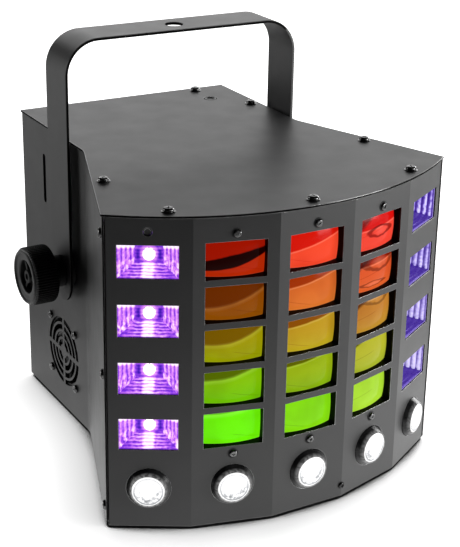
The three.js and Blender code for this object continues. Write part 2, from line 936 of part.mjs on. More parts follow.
for (const [name, place] of [["left", facet_places[0]], ["right", facet_places[facet_count - 1]]]) {
  addPiece(`uv_reflector_${name}`, uvReflector(), chrome_plastic, place);
  addPiece(`uv_led_board_${name}`, uvLedBoard(), circuit_board, place);
}

// Strobe lens: a flange behind the panel, a collar through it, and a skirt with a well for the LED
const skirt_end = -sheet - clearance - strobe_flange - strobe_skirt_depth;

function strobeLens() {
  const flange_back = -sheet - clearance - strobe_flange;
  const collar = strobe_hole_radius - strobe_collar_gap;
  const well_top = skirt_end + strobe_well_depth;
  const profile = [
    [0, well_top],
    [strobe_well_radius, well_top],
    [strobe_well_radius, skirt_end],
    [strobe_skirt_radius, skirt_end],
    [collar, flange_back],
    [strobe_hole_radius + strobe_flange_overlap, flange_back],
    [strobe_hole_radius + strobe_flange_overlap, -sheet - clearance],
    [collar, -sheet - clearance],
    [collar, strobe_collar_proud],
    [strobe_face_radius, strobe_proud],
    [0, strobe_proud + strobe_crown],
  ];
  return solid(turned(profile, round_steps));
}

facet_places.forEach((place, i) => {
  addPiece(`strobe_lens_${i + 1}`, strobeLens(), clear_plastic, lifted(place, 0, strobe_height));
});

function strobeStrip() {
  const depth = clearance - skirt_end;
  const line = trimLine(front_line, strobe_strip_end);
  const low = strobe_height - strobe_strip_height / 2;
  const plate = solid(slab(strip(line, depth, depth + board), low, low + strobe_strip_height));
  const leds = facet_places.map((place) => {
    const height = board / 2 + strobe_led_height;
    const lamp = rod(strobe_led_radius, -depth - board / 2, -depth - board / 2 + height);
    return at(lamp, lifted(place, 0, strobe_height));
  });
  return join(plate, ...leds);
}

addPiece("strobe_led_strip", strobeStrip(), circuit_board);

// Bracket: a U of flat bar with round leg ends
const bracket_inner = rear_width / 2 + washer_thickness + 2 * clearance;
const bracket_outer = bracket_inner + bracket_thickness;
const crossbar_bottom = body_height + handle_room;
const crossbar_top = crossbar_bottom + bracket_thickness;

function uPath(half, top, radius, low) {
  const points = [new THREE.Vector2(half, low)];
  for (let i = 0; i <= bracket_bend_steps; i++) {
    const angle = (i * quarter_turn) / bracket_bend_steps;
    const x = half - radius + radius * Math.cos(angle);
    points.push(new THREE.Vector2(x, top - radius + radius * Math.sin(angle)));
  }
  return [...points, ...points.map((point) => new THREE.Vector2(-point.x, point.y)).reverse()];
}

function bracket() {
  const end_centre = pivot_height - leg_below_pivot;
  const half_width = bracket_width / 2;
  const low = end_centre - half_width;
  const outer = uPath(bracket_outer, crossbar_top, bracket_bend, low);
  const inner = uPath(bracket_inner, crossbar_bottom, bracket_bend - bracket_thickness, low);
  const profile = slab([...outer, ...inner.reverse()], -half_width, half_width);
  const bar = solid(profile.rotateX(quarter_turn).translate(0, pivot_y, 0));
  const ends = [];
  for (let i = 0; i <= small_round_steps; i++) {
    const angle = (i * Math.PI) / small_round_steps;
    const y = end_centre - half_width * Math.sin(angle);
    ends.push(new THREE.Vector2(-half_width * Math.cos(angle), y));
  }
  const top = crossbar_top + overrun;
  const view = [...ends, new THREE.Vector2(half_width, top), new THREE.Vector2(-half_width, top)];
  const reach = bracket_outer + overrun;
  const rounding = at(slab(view, -reach, reach), wallPlace(0, pivot_y, 0, quarter_turn));
  const bolt_hole = rod(bolt_radius + clearance, -reach, reach, round_steps);
  const bolts = at(bolt_hole, wallPlace(0, pivot_y, pivot_height, quarter_turn));
  const clamp = rod(clamp_hole_radius, crossbar_bottom - overrun, top, round_steps);
  return cut(bar.intersect(rounding), bolts, solid(clamp.translate(0, pivot_y, 0)));
}

addPiece("bracket", bracket(), black_steel);

// Clamp knob with its bolt: the hub presses on the bracket leg and the bolt ends in the housing's nut
function knob() {
  const face = hub_length + knob_length;
  const bolt_tip = bracket_outer - rear_width / 2 + sheet + nut_height + bolt_reach_past_nut;
  const recess_floor = face - knob_recess_depth;
  const body = solid(
    turned(
      [
        [0, -bolt_tip],
        [bolt_radius, -bolt_tip],
        [bolt_radius, 0],
        [hub_radius, 0],
        [hub_radius, hub_length],
        [knob_radius - knob_edge, hub_length],
        [knob_radius, hub_length + knob_edge],
        [knob_radius, face - knob_edge],
        [knob_radius - knob_edge, face],
        [knob_recess_radius, face - knob_edge],
        [knob_recess_radius - knob_edge, recess_floor],
        [knob_boss_radius, recess_floor],
        [knob_boss_radius, face - knob_boss_drop],
        [0, face - knob_boss_drop],
      ],
      knob_segments,
    ),
  );
  const ribs = [];
  for (let i = 0; i < knob_ribs; i++) {
    const low = recess_floor - knob_edge;
    const high = face - knob_rib_drop;
    const rib = box(0, knob_recess_radius, -knob_rib / 2, knob_rib / 2, low, high);
    ribs.push(solid(rib.rotateZ((i * 2 * Math.PI) / knob_ribs)));
  }
  return join(body, ...ribs);
}

for (const [name, side] of [["left", -1], ["right", 1]]) {
  const pivot = sidePlace(side, pivot_y, pivot_height);
  const washer = solid(tube(bolt_radius + clearance, washer_radius, 0, washer_thickness));
  addPiece(`friction_washer_${name}`, washer, rubber, lifted(pivot, 0, 0, clearance));
  const knob_seat = bracket_outer - rear_width / 2 + clearance;
  addPiece(`clamp_knob_${name}`, knob(), black_plastic, lifted(pivot, 0, 0, knob_seat));
}

// Fan: its frame stands against the inside of the left wall, in the wall's own frame
const fan_place = sidePlace(-1, rear_y - fan_from_rear, fan_height);
const fan_top = -sheet - clearance;
const fan_bottom = fan_top - fan_depth;
const fan_bore = fan_size / 2 - fan_wall;
const rotor_bottom = fan_bottom + fan_strut_depth + rotor_gap;

function fanFrame() {
  const body = solid(centredBox(0, 0, fan_size, fan_size, fan_bottom, fan_top));
  const bore = solid(rod(fan_bore, fan_bottom - overrun, fan_top + overrun, round_steps));
  const holes = fanCorners().map(([x, y]) => {
    const hole = rod(screw_hole_radius, fan_bottom - overrun, fan_top + overrun);
    return solid(hole.translate(x, y, 0));
  });
  const strut_top = fan_bottom + fan_strut_depth;
  const carrier = solid(rod(rotor_hub_radius, fan_bottom, strut_top, round_steps));
  const struts = [];
  for (let i = 0; i < fan_struts; i++) {
    const strut = box(0, fan_bore + fan_wall / 2, -fan_strut / 2, fan_strut / 2, fan_bottom, strut_top);
    struts.push(solid(strut.rotateZ((i * 2 * Math.PI) / fan_struts)));
  }
  const bearing = solid(rod(rotor_shaft_radius + clearance, fan_bottom - overrun, strut_top + overrun));
  return cut(join(cut(body, bore, ...holes), carrier, ...struts), bearing);
}

function fanRotor() {
  const top = rotor_bottom + rotor_depth;
  const hub = solid(rod(rotor_hub_radius, rotor_bottom, top, round_steps));
  const shaft = solid(rod(rotor_shaft_radius, fan_bottom, rotor_bottom + rotor_gap));
  const reach = fan_bore - rotor_gap;
  const blade_turn = THREE.MathUtils.degToRad(blade_turn_degrees);
  const chord = (rotor_depth - blade_thickness) / Math.sin(blade_turn);
  const blades = [];
  for (let i = 0; i < rotor_blades; i++) {
    const inner = rotor_hub_radius / 2;
    const half = blade_thickness / 2;
    const blade = box(inner, reach - rotor_gap, -chord / 2, chord / 2, -half, half);
    blade.rotateX(blade_turn).translate(0, 0, (rotor_bottom + top) / 2);
    blades.push(solid(blade.rotateZ((i * 2 * Math.PI) / rotor_blades)));
  }
  const sweep = solid(rod(reach, fan_bottom, fan_top, round_steps));
  return join(hub, shaft, ...blades).intersect(sweep);
}

addPiece("fan_frame", fanFrame(), black_plastic, fan_place);
addPiece("fan_rotor", fanRotor(), black_plastic, fan_place);

// Derby engine: heat sink on the base plate, LED disc on its front, motor behind, gobo wheel ahead.
// Its frame is at the heat sink's front face, at the height of the motor's shaft.
const engine_place = wallPlace(0, front_y + engine_from_front, engine_height, 0);
const led_disc_front = clearance + board;
const cone_front = led_disc_front + led_cone_height;
const wheel_back = cone_front + wheel_to_cones;

function circlePlaces(count, radius) {
  const places = [];
  for (let i = 0; i < count; i++) {
    const angle = ((i + 0.5) * 2 * Math.PI) / count;
    places.push([radius * Math.cos(angle), radius * Math.sin(angle)]);
  }
  return places;
}

function heatSink() {
  const half = sink_width / 2;
  const low = base_top + clearance - engine_height;
  const high = body_height - sink_top_gap - engine_height;
  const solids = [
    solid(box(-half, half, low, high, -sink_plate, 0)),
    solid(box(-half, half, low, low + sink_plate, -sink_plate - sink_foot, 0)),
  ];
  for (const side of [-1, 1]) {
    for (let i = 0; i < sink_fins_each_side; i++) {
      const x = side * (half - sink_fin / 2 - i * sink_fin_pitch);
      const back = -sink_plate - sink_fin_depth;
      const fin_low = sink_fin_bottom - engine_height;
      solids.push(solid(box(x - sink_fin / 2, x + sink_fin / 2, fin_low, high, back, -sink_plate / 2)));
    }
  }
  const hole = solid(rod(shaft_hole_radius, -sink_plate - overrun, overrun));
  return cut(join(...solids), hole);
}

function ledDisc() {
  const disc = solid(rod(led_disc_radius, clearance, led_disc_front, round_steps));
  const cones = circlePlaces(wheel_windows, wheel_window_circle).map(([x, y]) => {
    const profile = [
      [0, led_disc_front - board / 2],
      [led_cone_tip_radius, led_disc_front - board / 2],
      [led_cone_radius, cone_front],
      [0, cone_front],
    ];
    return solid(turned(profile, small_round_steps).translate(x, y, 0));
  });
  const hole = solid(rod(shaft_hole_radius, -overrun, led_disc_front + overrun));
  return cut(join(disc, ...cones), hole);
}

function motor() {
  const back = -sink_plate - clearance - motor_length;
  const body = solid(rod(motor_radius, back, -sink_plate - clearance, round_steps));
  const tip = wheel_back + wheel_hub_length;
  return join(body, solid(rod(motor_shaft_radius, back + motor_length / 2, tip)));
}

function goboWheel() {
  const disc = solid(rod(wheel_radius, wheel_back, wheel_back + wheel_thickness, 2 * round_steps));
  const hub_end = wheel_back + wheel_hub_length;
  const hub = solid(rod(wheel_hub_radius, wheel_back, hub_end));
  const tools = circlePlaces(wheel_windows, wheel_window_circle).map(([x, y], i) => {
    const sides = 3 + (i % 3);
    const hole = rod(wheel_window_radius, wheel_back - overrun, wheel_back + overrun, sides);
    return solid(hole.translate(x, y, 0));
  });
  tools.push(solid(rod(motor_shaft_radius + clearance, wheel_back - overrun, hub_end + overrun)));
  return cut(join(disc, hub), ...tools);
}

addPiece("heat_sink", heatSink(), bare_aluminium, engine_place);
addPiece("derby_led_disc", ledDisc(), circuit_board, engine_place);
addPiece("gobo_motor", motor(), plated_steel, engine_place);
addPiece("gobo_wheel", goboWheel(), bare_aluminium, engine_place);

// Power supply: a board on four standoffs, with its transformer and capacitors
function powerSupply() {
  const half_width = supply_width / 2;
  const half_depth = supply_depth / 2;
  const low = base_top + clearance;
  const board_low = low + supply_standoff;
  const board_top = board_low + board;
  const solids = [solid(box(-half_width, half_width, -half_depth, half_depth, board_low, board_top))];
  for (const x of [-1, 1]) {
    for (const y of [-1, 1]) {
      const leg = rod(supply_standoff_radius, low, board_top - board / 2);
      const inset = 2 * supply_standoff_radius;
      solids.push(solid(leg.translate(x * (half_width - inset), y * (half_depth - inset), 0)));
    }
    const can = rod(capacitor_radius, board_top - board / 2, board_top + capacitor_height);
    solids.push(solid(can.translate(x * (half_width - 2 * capacitor_radius), half_depth / 2, 0)));
  }
  const core = transformer_size / 2;
  const core_middle = -half_depth / 2 + core / 2;
  const block = box(-core, core, -core, core, board_top - board / 2, board_top + transformer_height);
  solids.push(solid(block.translate(0, core_middle, 0)));
  return join(...solids);
}

const supply_place = new THREE.Matrix4().makeTranslation(0, rear_y - supply_from_rear, 0);
addPiece("power_supply", powerSupply(), circuit_board, supply_place);

// Control board behind the rear panel, on four standoffs, with the display and the four switches
function controlBoard() {
  const half_width = control_width / 2;
  const half_height = control_board_height / 2;
  const face = -control_depth;
  const solids = [solid(box(-half_width, half_width, -half_height, half_height, face - board, face))];
  for (const x of [-1, 1]) {
    for (const y of [-1, 1]) {
      const post = rod(standoff_radius, face - board / 2, -sheet - clearance);
      const place = [x * (half_width - standoff_inset), y * (half_height - standoff_inset)];
      solids.push(solid(post.translate(...place, 0)));
    }
  }
  const low = face - board / 2;
  const digits_top = face + display_block_depth;
  const digits = centredBox(0, display_above, display_width, display_height, low, digits_top);
  solids.push(solid(digits));
  for (let i = 0; i < button_count; i++) {
    const x = (i - (button_count - 1) / 2) * button_pitch;
    const block = centredBox(x, -button_below, switch_size, switch_size, low, face + switch_height);
    solids.push(solid(block));
  }
  return join(...solids);
}

addPiece("control_board", controlBoard(), circuit_board, control_place);

function displayWindow() {
  const rim_top = -sheet - clearance;
  const pane = centredBox(0, 0, display_width, display_height, rim_top - display_rim_thickness, 0);
  const rim_width = display_width + 2 * display_rim;
  const rim_height = display_height + 2 * display_rim;
  const rim = centredBox(0, 0, rim_width, rim_height, rim_top - display_rim_thickness, rim_top);
  return join(solid(pane), solid(rim));
}

addPiece("display_window", displayWindow(), display_red, display_place);

function menuButton() {
  const flange_top = -sheet - clearance;
  const stem_end = -control_depth + switch_height + button_travel + clearance;
  const profile = [
    [0, stem_end],
    [button_radius / 2, stem_end],
    [button_radius / 2, flange_top - button_flange],
    [button_radius + button_flange_width, flange_top - button_flange],
    [button_radius + button_flange_width, flange_top],
    [button_radius, flange_top],
    [button_radius, button_proud - clearance],
    [button_radius - clearance, button_proud],
    [0, button_proud],
  ];
  return solid(turned(profile, round_steps));
}

const button_names = ["menu", "down", "up", "enter"];
button_places.forEach((place, i) => {
  addPiece(`button_${button_names[i]}`, menuButton(), black_plastic, place);
});

// Flange with cut corners, as the rear sockets have
function flangePoints(width, height, corner) {
  const x = width / 2;
  const y = height / 2;
  const quarter = [[x, -y + corner], [x, y - corner], [x - corner, y], [-x + corner, y]];
  const rest = quarter.map(([a, b]) => [-a, -b]);
  return [...quarter, ...rest].map(([a, b]) => new THREE.Vector2(a, b));
}

// Mains inlet: flange outside the panel, body behind it, a socket with three blades and a drawer pocket
const flange_seat = clearance;
const inlet_face = flange_seat + inlet_flange;

function powerInlet() {
  const flange_shape = flangePoints(inlet_flange_width, inlet_flange_height, inlet_corner);
  const flange = solid(slab(flange_shape, flange_seat, inlet_face));
  const body = centredBox(0, 0, inlet_body_width, inlet_body_height, -inlet_body_depth, inlet_face);
  const socket_floor = inlet_face - socket_depth;
  const socket_top = -socket_below + socket_height / 2;
  const socket_bottom = -socket_below - socket_height / 2;
  const half = socket_width / 2;
  const socket = slab(
    [
      new THREE.Vector2(-half, socket_bottom),
      new THREE.Vector2(half, socket_bottom),
      new THREE.Vector2(half, socket_top - socket_chamfer),
      new THREE.Vector2(half - socket_chamfer, socket_top),
      new THREE.Vector2(-half + socket_chamfer, socket_top),
      new THREE.Vector2(-half, socket_top - socket_chamfer),
    ],
    socket_floor,
    inlet_face + overrun,
  );
  const gap = 2 * clearance;
  const pocket_floor = inlet_face - drawer_length - clearance;
  const pocket = centredBox(
    0,
    drawer_above,
    drawer_width + gap,
    drawer_height + gap,
    pocket_floor,
    inlet_face + overrun,
  );
  const blades = [-1, 0, 1].map((step) => {
    const y = -socket_below + (step === 0 ? blade_raise : -blade_raise);
    const tip = inlet_face - pin_recess;
    const low = socket_floor - overrun;
    return solid(centredBox(step * blade_spacing, y, blade_width, blade_height, low, tip));
  });
  return join(cut(join(flange, solid(body)), solid(socket), solid(pocket)), ...blades);
}

function fuseDrawer() {
  const face_low = inlet_face + clearance;
  const face_top = face_low + drawer_face;
  const tray_end = inlet_face - drawer_length;
  const tray = centredBox(0, 0, drawer_width, drawer_height, tray_end, face_top);
  const border = 2 * drawer_face_border;
  const face_width = drawer_width + border;
  const face = centredBox(0, 0, face_width, drawer_height + border, face_low, face_top);
  const well_width = drawer_width - 2 * drawer_wall;
  const well = centredBox(0, drawer_height / 2, well_width, drawer_height, tray_end + drawer_wall, -sheet);
  return cut(join(solid(tray), solid(face)), solid(well));
}

addPiece("power_inlet", powerInlet(), black_plastic, inlet_place);
addPiece("fuse_drawer", fuseDrawer(), black_plastic, lifted(inlet_place, 0, drawer_above));

// Round data sockets: one with pins in an open well, one with contacts in an insert
function dataSocket(with_pins) {
  const flange_shape = flangePoints(data_flange_width, data_flange_height, inlet_corner);
  const flange = solid(slab(flange_shape, flange_seat, inlet_face));
  const barrel = solid(rod(data_barrel_radius, -data_barrel_depth, inlet_face, round_steps));
  const floor = inlet_face - data_well_depth;
  const contacts = circlePlaces(data_pins, data_pin_circle);
  if (with_pins) {
    const well = solid(rod(data_well_radius, floor, inlet_face + overrun, round_steps));
    const pins = contacts.map(([x, y]) => {
      const pin = rod(data_pin_radius, floor - overrun, inlet_face - pin_recess);
      return solid(pin.translate(x, y, 0));
    });
    return join(cut(join(flange, barrel), well), ...pins);
  }
  const groove = solid(tube(data_insert_radius, data_well_radius, floor, inlet_face + overrun));
  const holes = contacts.map(([x, y]) =>
    solid(rod(data_contact_radius, floor, inlet_face + overrun).translate(x, y, 0)),
  );
  return cut(join(flange, barrel), groove, ...holes);
}

addPiece("dmx_in", dataSocket(true), plated_steel, data_places[0]);
addPiece("dmx_out", dataSocket(false), plated_steel, data_places[1]);

export default light;
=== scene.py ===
"""Looks of a derby light: sheet steel, coloured lenses, ultraviolet cups, strobe lamps, bracket and knobs.

Metres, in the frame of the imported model: +Z up, -Y the way the front looks, +X to the right.
"""

import colorsys
import math

import bmesh
import bpy
from mathutils import Matrix, Vector

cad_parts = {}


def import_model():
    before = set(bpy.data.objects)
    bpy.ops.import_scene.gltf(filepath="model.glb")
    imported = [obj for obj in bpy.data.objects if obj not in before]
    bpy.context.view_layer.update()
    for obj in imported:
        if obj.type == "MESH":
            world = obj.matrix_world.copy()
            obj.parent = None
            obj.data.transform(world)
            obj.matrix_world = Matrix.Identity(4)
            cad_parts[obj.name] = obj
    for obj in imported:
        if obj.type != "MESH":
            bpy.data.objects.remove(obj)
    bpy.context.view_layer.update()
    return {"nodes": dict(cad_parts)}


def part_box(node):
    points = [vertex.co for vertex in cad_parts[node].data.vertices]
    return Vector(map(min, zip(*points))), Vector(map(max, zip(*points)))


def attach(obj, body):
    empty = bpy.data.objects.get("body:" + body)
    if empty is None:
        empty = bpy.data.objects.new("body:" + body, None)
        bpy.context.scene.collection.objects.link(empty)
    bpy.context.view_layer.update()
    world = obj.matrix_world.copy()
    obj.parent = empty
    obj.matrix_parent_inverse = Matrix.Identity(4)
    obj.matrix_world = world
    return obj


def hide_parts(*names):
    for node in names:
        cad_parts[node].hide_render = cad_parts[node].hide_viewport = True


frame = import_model()
MM = 0.001

# Sheet metal
SHEET = 1.2 * MM
EDGE_ROUND = 0.25 * MM
FOLD_RADIUS = 2.0 * MM
FACET_WIDTH = 50.5 * MM
FACET_TURN = math.radians(15)
FACETS = 5
REAR_WIDTH = 155.6 * MM
STRAIGHT_DEPTH = 103.1 * MM
KINK_RADIUS = 24 * MM
KINK_STEPS = 16
PANEL_GAP = 0.4 * MM
CORNER_FOLD = 0.8 * MM
CORNER_NOTCH = 4 * MM
RETURN_FLANGE = 10 * MM
FOLD_SHADOW = 1.3 * MM
COVER_OVERHANG = 0.6 * MM
COVER_FRONT_OVERHANG = 2.7 * MM
COVER_EDGE_ROUND = 0.3 * MM
COVER_ARC_STEPS = 72
FLANGE_WIDTH = 12 * MM
GAP = 0.3 * MM
ROUND_END_STEPS = 10

# Places taken from the frame
COVER_BOTTOM, BODY_TOP = (corner.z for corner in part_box("top_cover"))
WALL_LOW, WALL_HIGH = (corner.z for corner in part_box("front_panel"))
FRONT_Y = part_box("front_panel")[0].y
REAR_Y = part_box("rear_panel")[1].y
BASE_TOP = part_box("base_plate")[1].z


# Lines in the plan, drawn so that the inside of the housing is on their left

def left_normal(a, b):
    along = (b - a).normalized()
    return Vector((-along.y, along.x))


def offset_line(points, distance):
    made = []
    for i, point in enumerate(points):
        first = left_normal(points[i - 1], point) if i > 0 else left_normal(point, points[1])
        second = left_normal(point, points[i + 1]) if i < len(points) - 1 else first
        made.append(point + (first + second) * (distance / (1 + first.dot(second))))
    return made


def mirrored(points):
    return [Vector((-p.x, p.y)) for p in reversed(points)]


def facet_folds():
    folds = [Vector((FACET_WIDTH / 2, FRONT_Y))]
    for i in range(1, (FACETS + 1) // 2):
        turn = i * FACET_TURN
        folds.append(folds[-1] + FACET_WIDTH * Vector((math.cos(turn), math.sin(turn))))
    return mirrored(folds) + folds


FRONT_LINE = facet_folds()
CORNER = FRONT_LINE[-1]
KINK = Vector((REAR_WIDTH / 2, REAR_Y - STRAIGHT_DEPTH))
SIDE_LINE = [CORNER, KINK, Vector((REAR_WIDTH / 2, REAR_Y))]
FLARE = (KINK - CORNER).normalized()


class FoldedLine:
    """A line of straight runs with rounded corners, and the way from lengths along it to places."""

    def __init__(self, points, radii, steps=6):
        self.lengths = [0.0]
        self.points = [points[0].copy()]
        self.normals = [-left_normal(points[0], points[1])]
        self.cuts = []
        self.corner_lengths = [0.0]
        for before, corner, after, radius in zip(points, points[1:], points[2:], radii):
            self._bend(before, corner, after, radius, steps)
        self._add(points[-1], self.normals[-1])
        self.corner_lengths.append(self.lengths[-1])

    def _add(self, point, normal):
        self.lengths.append(self.lengths[-1] + (point - self.points[-1]).length)
        self.points.append(point)
        self.normals.append(normal)

    def _bend(self, before, corner, after, radius, steps):
        a = (corner - before).normalized()
        b = (after - corner).normalized()
        turn = math.atan2(a.x * b.y - a.y * b.x, a.dot(b))
        sign = 1 if turn > 0 else -1
        spoke = Vector((-a.y, a.x)) * radius * sign
        centre = corner - a * radius * math.tan(abs(turn) / 2) + spoke
        for k in range(steps + 1):
            out = Matrix.Rotation(turn * k / steps, 2) @ -spoke
            self._add(centre + out, out.normalized() * sign)
            self.cuts.append(self.lengths[-1])
        self.corner_lengths.append((self.lengths[-1] + self.lengths[-steps - 1]) / 2)

    def place(self, length):
        """The point and the outward normal at a length along the line."""
        last = len(self.lengths) - 2
        k = 0
        while k < last and self.lengths[k + 1] < length:
            k += 1
        run = self.lengths[k + 1] - self.lengths[k]
        share = (length - self.lengths[k]) / run if run else 0.0
        point = self.points[k].lerp(self.points[k + 1], share)
        return point, self.normals[k].lerp(self.normals[k + 1], share).normalized()


# Outlines and profiles

def mm_points(*points, x=0.0, y=0.0):
    """Points written in millimetres from a place."""
    return [(x + a * MM, y + b * MM) for a, b in points]


def arc(x, y, radius, start, turn, steps):
    turns = (start + turn * i / steps for i in range(steps + 1))
    return [(x + radius * math.cos(t), y + radius * math.sin(t)) for t in turns]


def circle(x, y, radius, steps=40):
    return arc(x, y, radius, 0, 2 * math.pi, steps)[:-1]


def rectangle(x, y, width, height):
    a, b = width / 2, height / 2
    return [(x - a, y - b), (x + a, y - b), (x + a, y + b), (x - a, y + b)]


def round_bar(x, y, width, length):
    """An upright bar with round ends."""
    radius = width / 2
    reach = length / 2 - radius
    top = arc(x, y + reach, radius, 0, math.pi, ROUND_END_STEPS)
    return top + arc(x, y - reach, radius, math.pi, math.pi, ROUND_END_STEPS)


# Meshes

SMOOTH_LIMIT = math.radians(35)
FLAT_LIMIT = math.radians(1)
RIM_ANGLE = math.radians(60)

# A plate's cut faces look up by less than the first, and its rounded edges by less than the second
CUT_LEAN = 0.2
ROUND_LEAN = 0.98


def added(name, data):
    obj = bpy.data.objects.new(name, data)
    bpy.context.scene.collection.objects.link(obj)
    return obj


def link(name, mesh, materials, smooth=True):
    obj = added(name, mesh)
    for material in materials if isinstance(materials, tuple) else (materials,):
        mesh.materials.append(material)
    if smooth:
        mesh.set_sharp_from_angle(angle=SMOOTH_LIMIT)
        weighted = obj.modifiers.new("weighted_normals", "WEIGHTED_NORMAL")
        weighted.keep_sharp = True
    return obj


def mesh_of(bm, name):
    bmesh.ops.recalc_face_normals(bm, faces=bm.faces)
    mesh = bpy.data.meshes.new(name)
    bm.to_mesh(mesh)
    bm.free()
    mesh.polygons.foreach_set("use_smooth", [True] * len(mesh.polygons))
    return mesh


def piece(name, bm, materials, body="housing", replaced=None):
    """A piece in the scene, with its body and the solid whose place it takes."""
    obj = link(name, mesh_of(bm, name), materials)
    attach(obj, body)
    if replaced:
        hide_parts(replaced)


def pulled(bm, faces, rise):
    """Extrudes faces straight up or down."""
    made = bmesh.ops.extrude_face_region(bm, geom=faces, use_keep_orig=True)
    corners = [v for v in made["geom"] if isinstance(v, bmesh.types.BMVert)]
    bmesh.ops.translate(bm, verts=corners, vec=(0, 0, rise))
    return bm


def plate(outline, holes, thickness, edge=EDGE_ROUND):
    """A flat plate from 0 down to -thickness, with rounded edges."""
    bm = bmesh.new()
    rims = []
    for points in [outline, *holes]:
        corners = [bm.verts.new((x, y, 0)) for x, y in points]
        for a, b in zip(corners, corners[1:] + corners[:1]):
            rims.append(bm.edges.new((a, b)))
    bmesh.ops.triangle_fill(bm, use_beauty=True, use_dissolve=False, edges=rims)
    bmesh.ops.dissolve_limit(bm, angle_limit=FLAT_LIMIT, verts=[], edges=bm.edges[:])
    pulled(bm, bm.faces[:], -thickness)
    bmesh.ops.recalc_face_normals(bm, faces=bm.faces)
    if edge:
        sharp = [e for e in bm.edges if e.is_manifold and e.calc_face_angle() > RIM_ANGLE
                 and abs(e.verts[0].co.z - e.verts[1].co.z) < thickness / 2]
        bmesh.ops.bevel(bm, geom=sharp, offset=edge, segments=2, profile=0.5, affect="EDGES",
                        loop_slide=False, clamp_overlap=False)
    bm.normal_update()
    for face in bm.faces:
        lean = abs(face.normal.z)
        face.material_index = 1 if lean < CUT_LEAN else 2 if lean < ROUND_LEAN else 0
    return bm


def split(bm, x):
    """Cuts the faces of a flat plate along a line across it."""
    geometry = bm.verts[:] + bm.edges[:] + bm.faces[:]
    bmesh.ops.bisect_plane(bm, geom=geometry, dist=1e-7, plane_co=(x, 0, 0), plane_no=(1, 0, 0))


def fold(bm, line, lift):
    """Bends a flat plate: x becomes the length along the line, z the way out of the wall."""
    for cut in line.cuts:
        split(bm, cut)
    for vert in bm.verts:
        point, normal = line.place(vert.co.x)
        vert.co = lift(point + normal * vert.co.z, vert.co.y)
    return bm


def upright(point, height):
    return Vector((point.x, point.y, height))


def painted(bm, index, chosen):
    """Gives one of the piece's other materials to the faces whose middle is chosen."""
    for face in bm.faces:
        if chosen(face.calc_center_median()):
            face.material_index = index
    return bm


def prism(points, low, high):
    bm = bmesh.new()
    face = bm.faces.new([bm.verts.new((p[0], p[1], low)) for p in points])
    return pulled(bm, [face], high - low)


def joined(bms):
    """One bmesh of several."""
    whole = bms[0]
    for part in bms[1:]:
        mesh = bpy.data.meshes.new("part")
        part.to_mesh(mesh)
        part.free()
        whole.from_mesh(mesh)
        bpy.data.meshes.remove(mesh)
    return whole


def net(bm, grid):
    """Faces between the rows of a grid of corners, some of which may be the same."""
    for below, above in zip(grid, grid[1:]):
        for i in range(len(below) - 1):
            corners = list(dict.fromkeys((below[i], below[i + 1], above[i + 1], above[i])))
            if len(corners) > 2:
                bm.faces.new(corners)


def relief(bm, xs, ys, height):
    """A net whose height follows from the place. Gives its corners, row by row."""
    grid = [[bm.verts.new((x, y, height(x, y))) for x in xs] for y in ys]
    net(bm, grid)
    return grid


def turned(profile, steps=64, wave=None):
    """Profile points (radius, height), from the bottom up, turned about Z. A wave changes the radius."""
    bm = bmesh.new()
    rings = []
    for radius, height in profile:
        if radius == 0:
            rings.append([bm.verts.new((0, 0, height))] * (steps + 1))
            continue
        ring = []
        for i in range(steps):
            t = 2 * math.pi * i / steps
            r = radius + (wave(radius, height, t) if wave else 0)
            ring.append(bm.verts.new((r * math.cos(t), r * math.sin(t), height)))
        rings.append(ring + ring[:1])
    net(bm, rings)
    return bm


def tube(inner, outer, low, high, steps=64):
    return turned([(inner, low), (outer, low), (outer, high), (inner, high), (inner, low)], steps)


def moved(bm, matrix):
    bmesh.ops.transform(bm, matrix=matrix, verts=bm.verts)
    return bm


def carved(bm, tools):
    """A bmesh with other bmeshes cut out of it."""
    meshes = (mesh_of(bm, "carved"), mesh_of(joined(tools), "cutter"))
    body, cutter = (added(mesh.name, mesh) for mesh in meshes)
    boolean = body.modifiers.new("cut", "BOOLEAN")
    boolean.operation = "DIFFERENCE"
    boolean.solver = "EXACT"
    boolean.use_self = True
    boolean.object = cutter
    evaluated = body.evaluated_get(bpy.context.evaluated_depsgraph_get())
    result = bmesh.new()
    result.from_mesh(evaluated.to_mesh())
    for obj, mesh in zip((body, cutter), meshes):
        bpy.data.objects.remove(obj)
        bpy.data.meshes.remove(mesh)
    return result


def face_map(bm, name, width, height):
    """Gives a piece that looks up Z a UV map across its face."""
    layer = bm.loops.layers.uv.new(name)
    for face in bm.faces:
        for loop in face.loops:
            x, y, _ = loop.vert.co
            loop[layer].uv = (x / width + 0.5, y / height + 0.5)
    return bm


def copies(bm, matrices):
    """The same piece at several places, as one bmesh."""
    return joined([moved(bm.copy(), matrix) for matrix in matrices])


# Places: on a wall, Z points out and Y is up

def wall_place(x, y, z, turn):
    facing = Matrix.Rotation(turn, 4, "Z") @ Matrix.Rotation(math.pi / 2, 4, "X")
    return Matrix.Translation((x, y, z)) @ facing


def side_place(side, y, z):
    """On the straight part of the left side panel (-1) or the right one (1)."""
    return wall_place(side * REAR_WIDTH / 2, y, z, side * math.pi / 2)


def shifted(place, x=0.0, y=0.0, z=0.0, turn=0.0):
    return place @ Matrix.Translation((x, y, z)) @ Matrix.Rotation(turn, 4, "Z")


ON_COVER = Matrix.Translation((0, 0, BODY_TOP))
FACET_PLACES = []
for index in range(FACETS):
    middle = (FRONT_LINE[index] + FRONT_LINE[index + 1]) / 2
    FACET_PLACES.append(wall_place(middle.x, middle.y, 0, (index - (FACETS - 1) / 2) * FACET_TURN))


# Materials

def sign(operation, swapped=False):
    """A sign of arithmetic for Term, which adds a math node."""
    def apply(term, other=None):
        return term.nodes.math(operation, *((other, term) if swapped else (term, other)))
    return apply


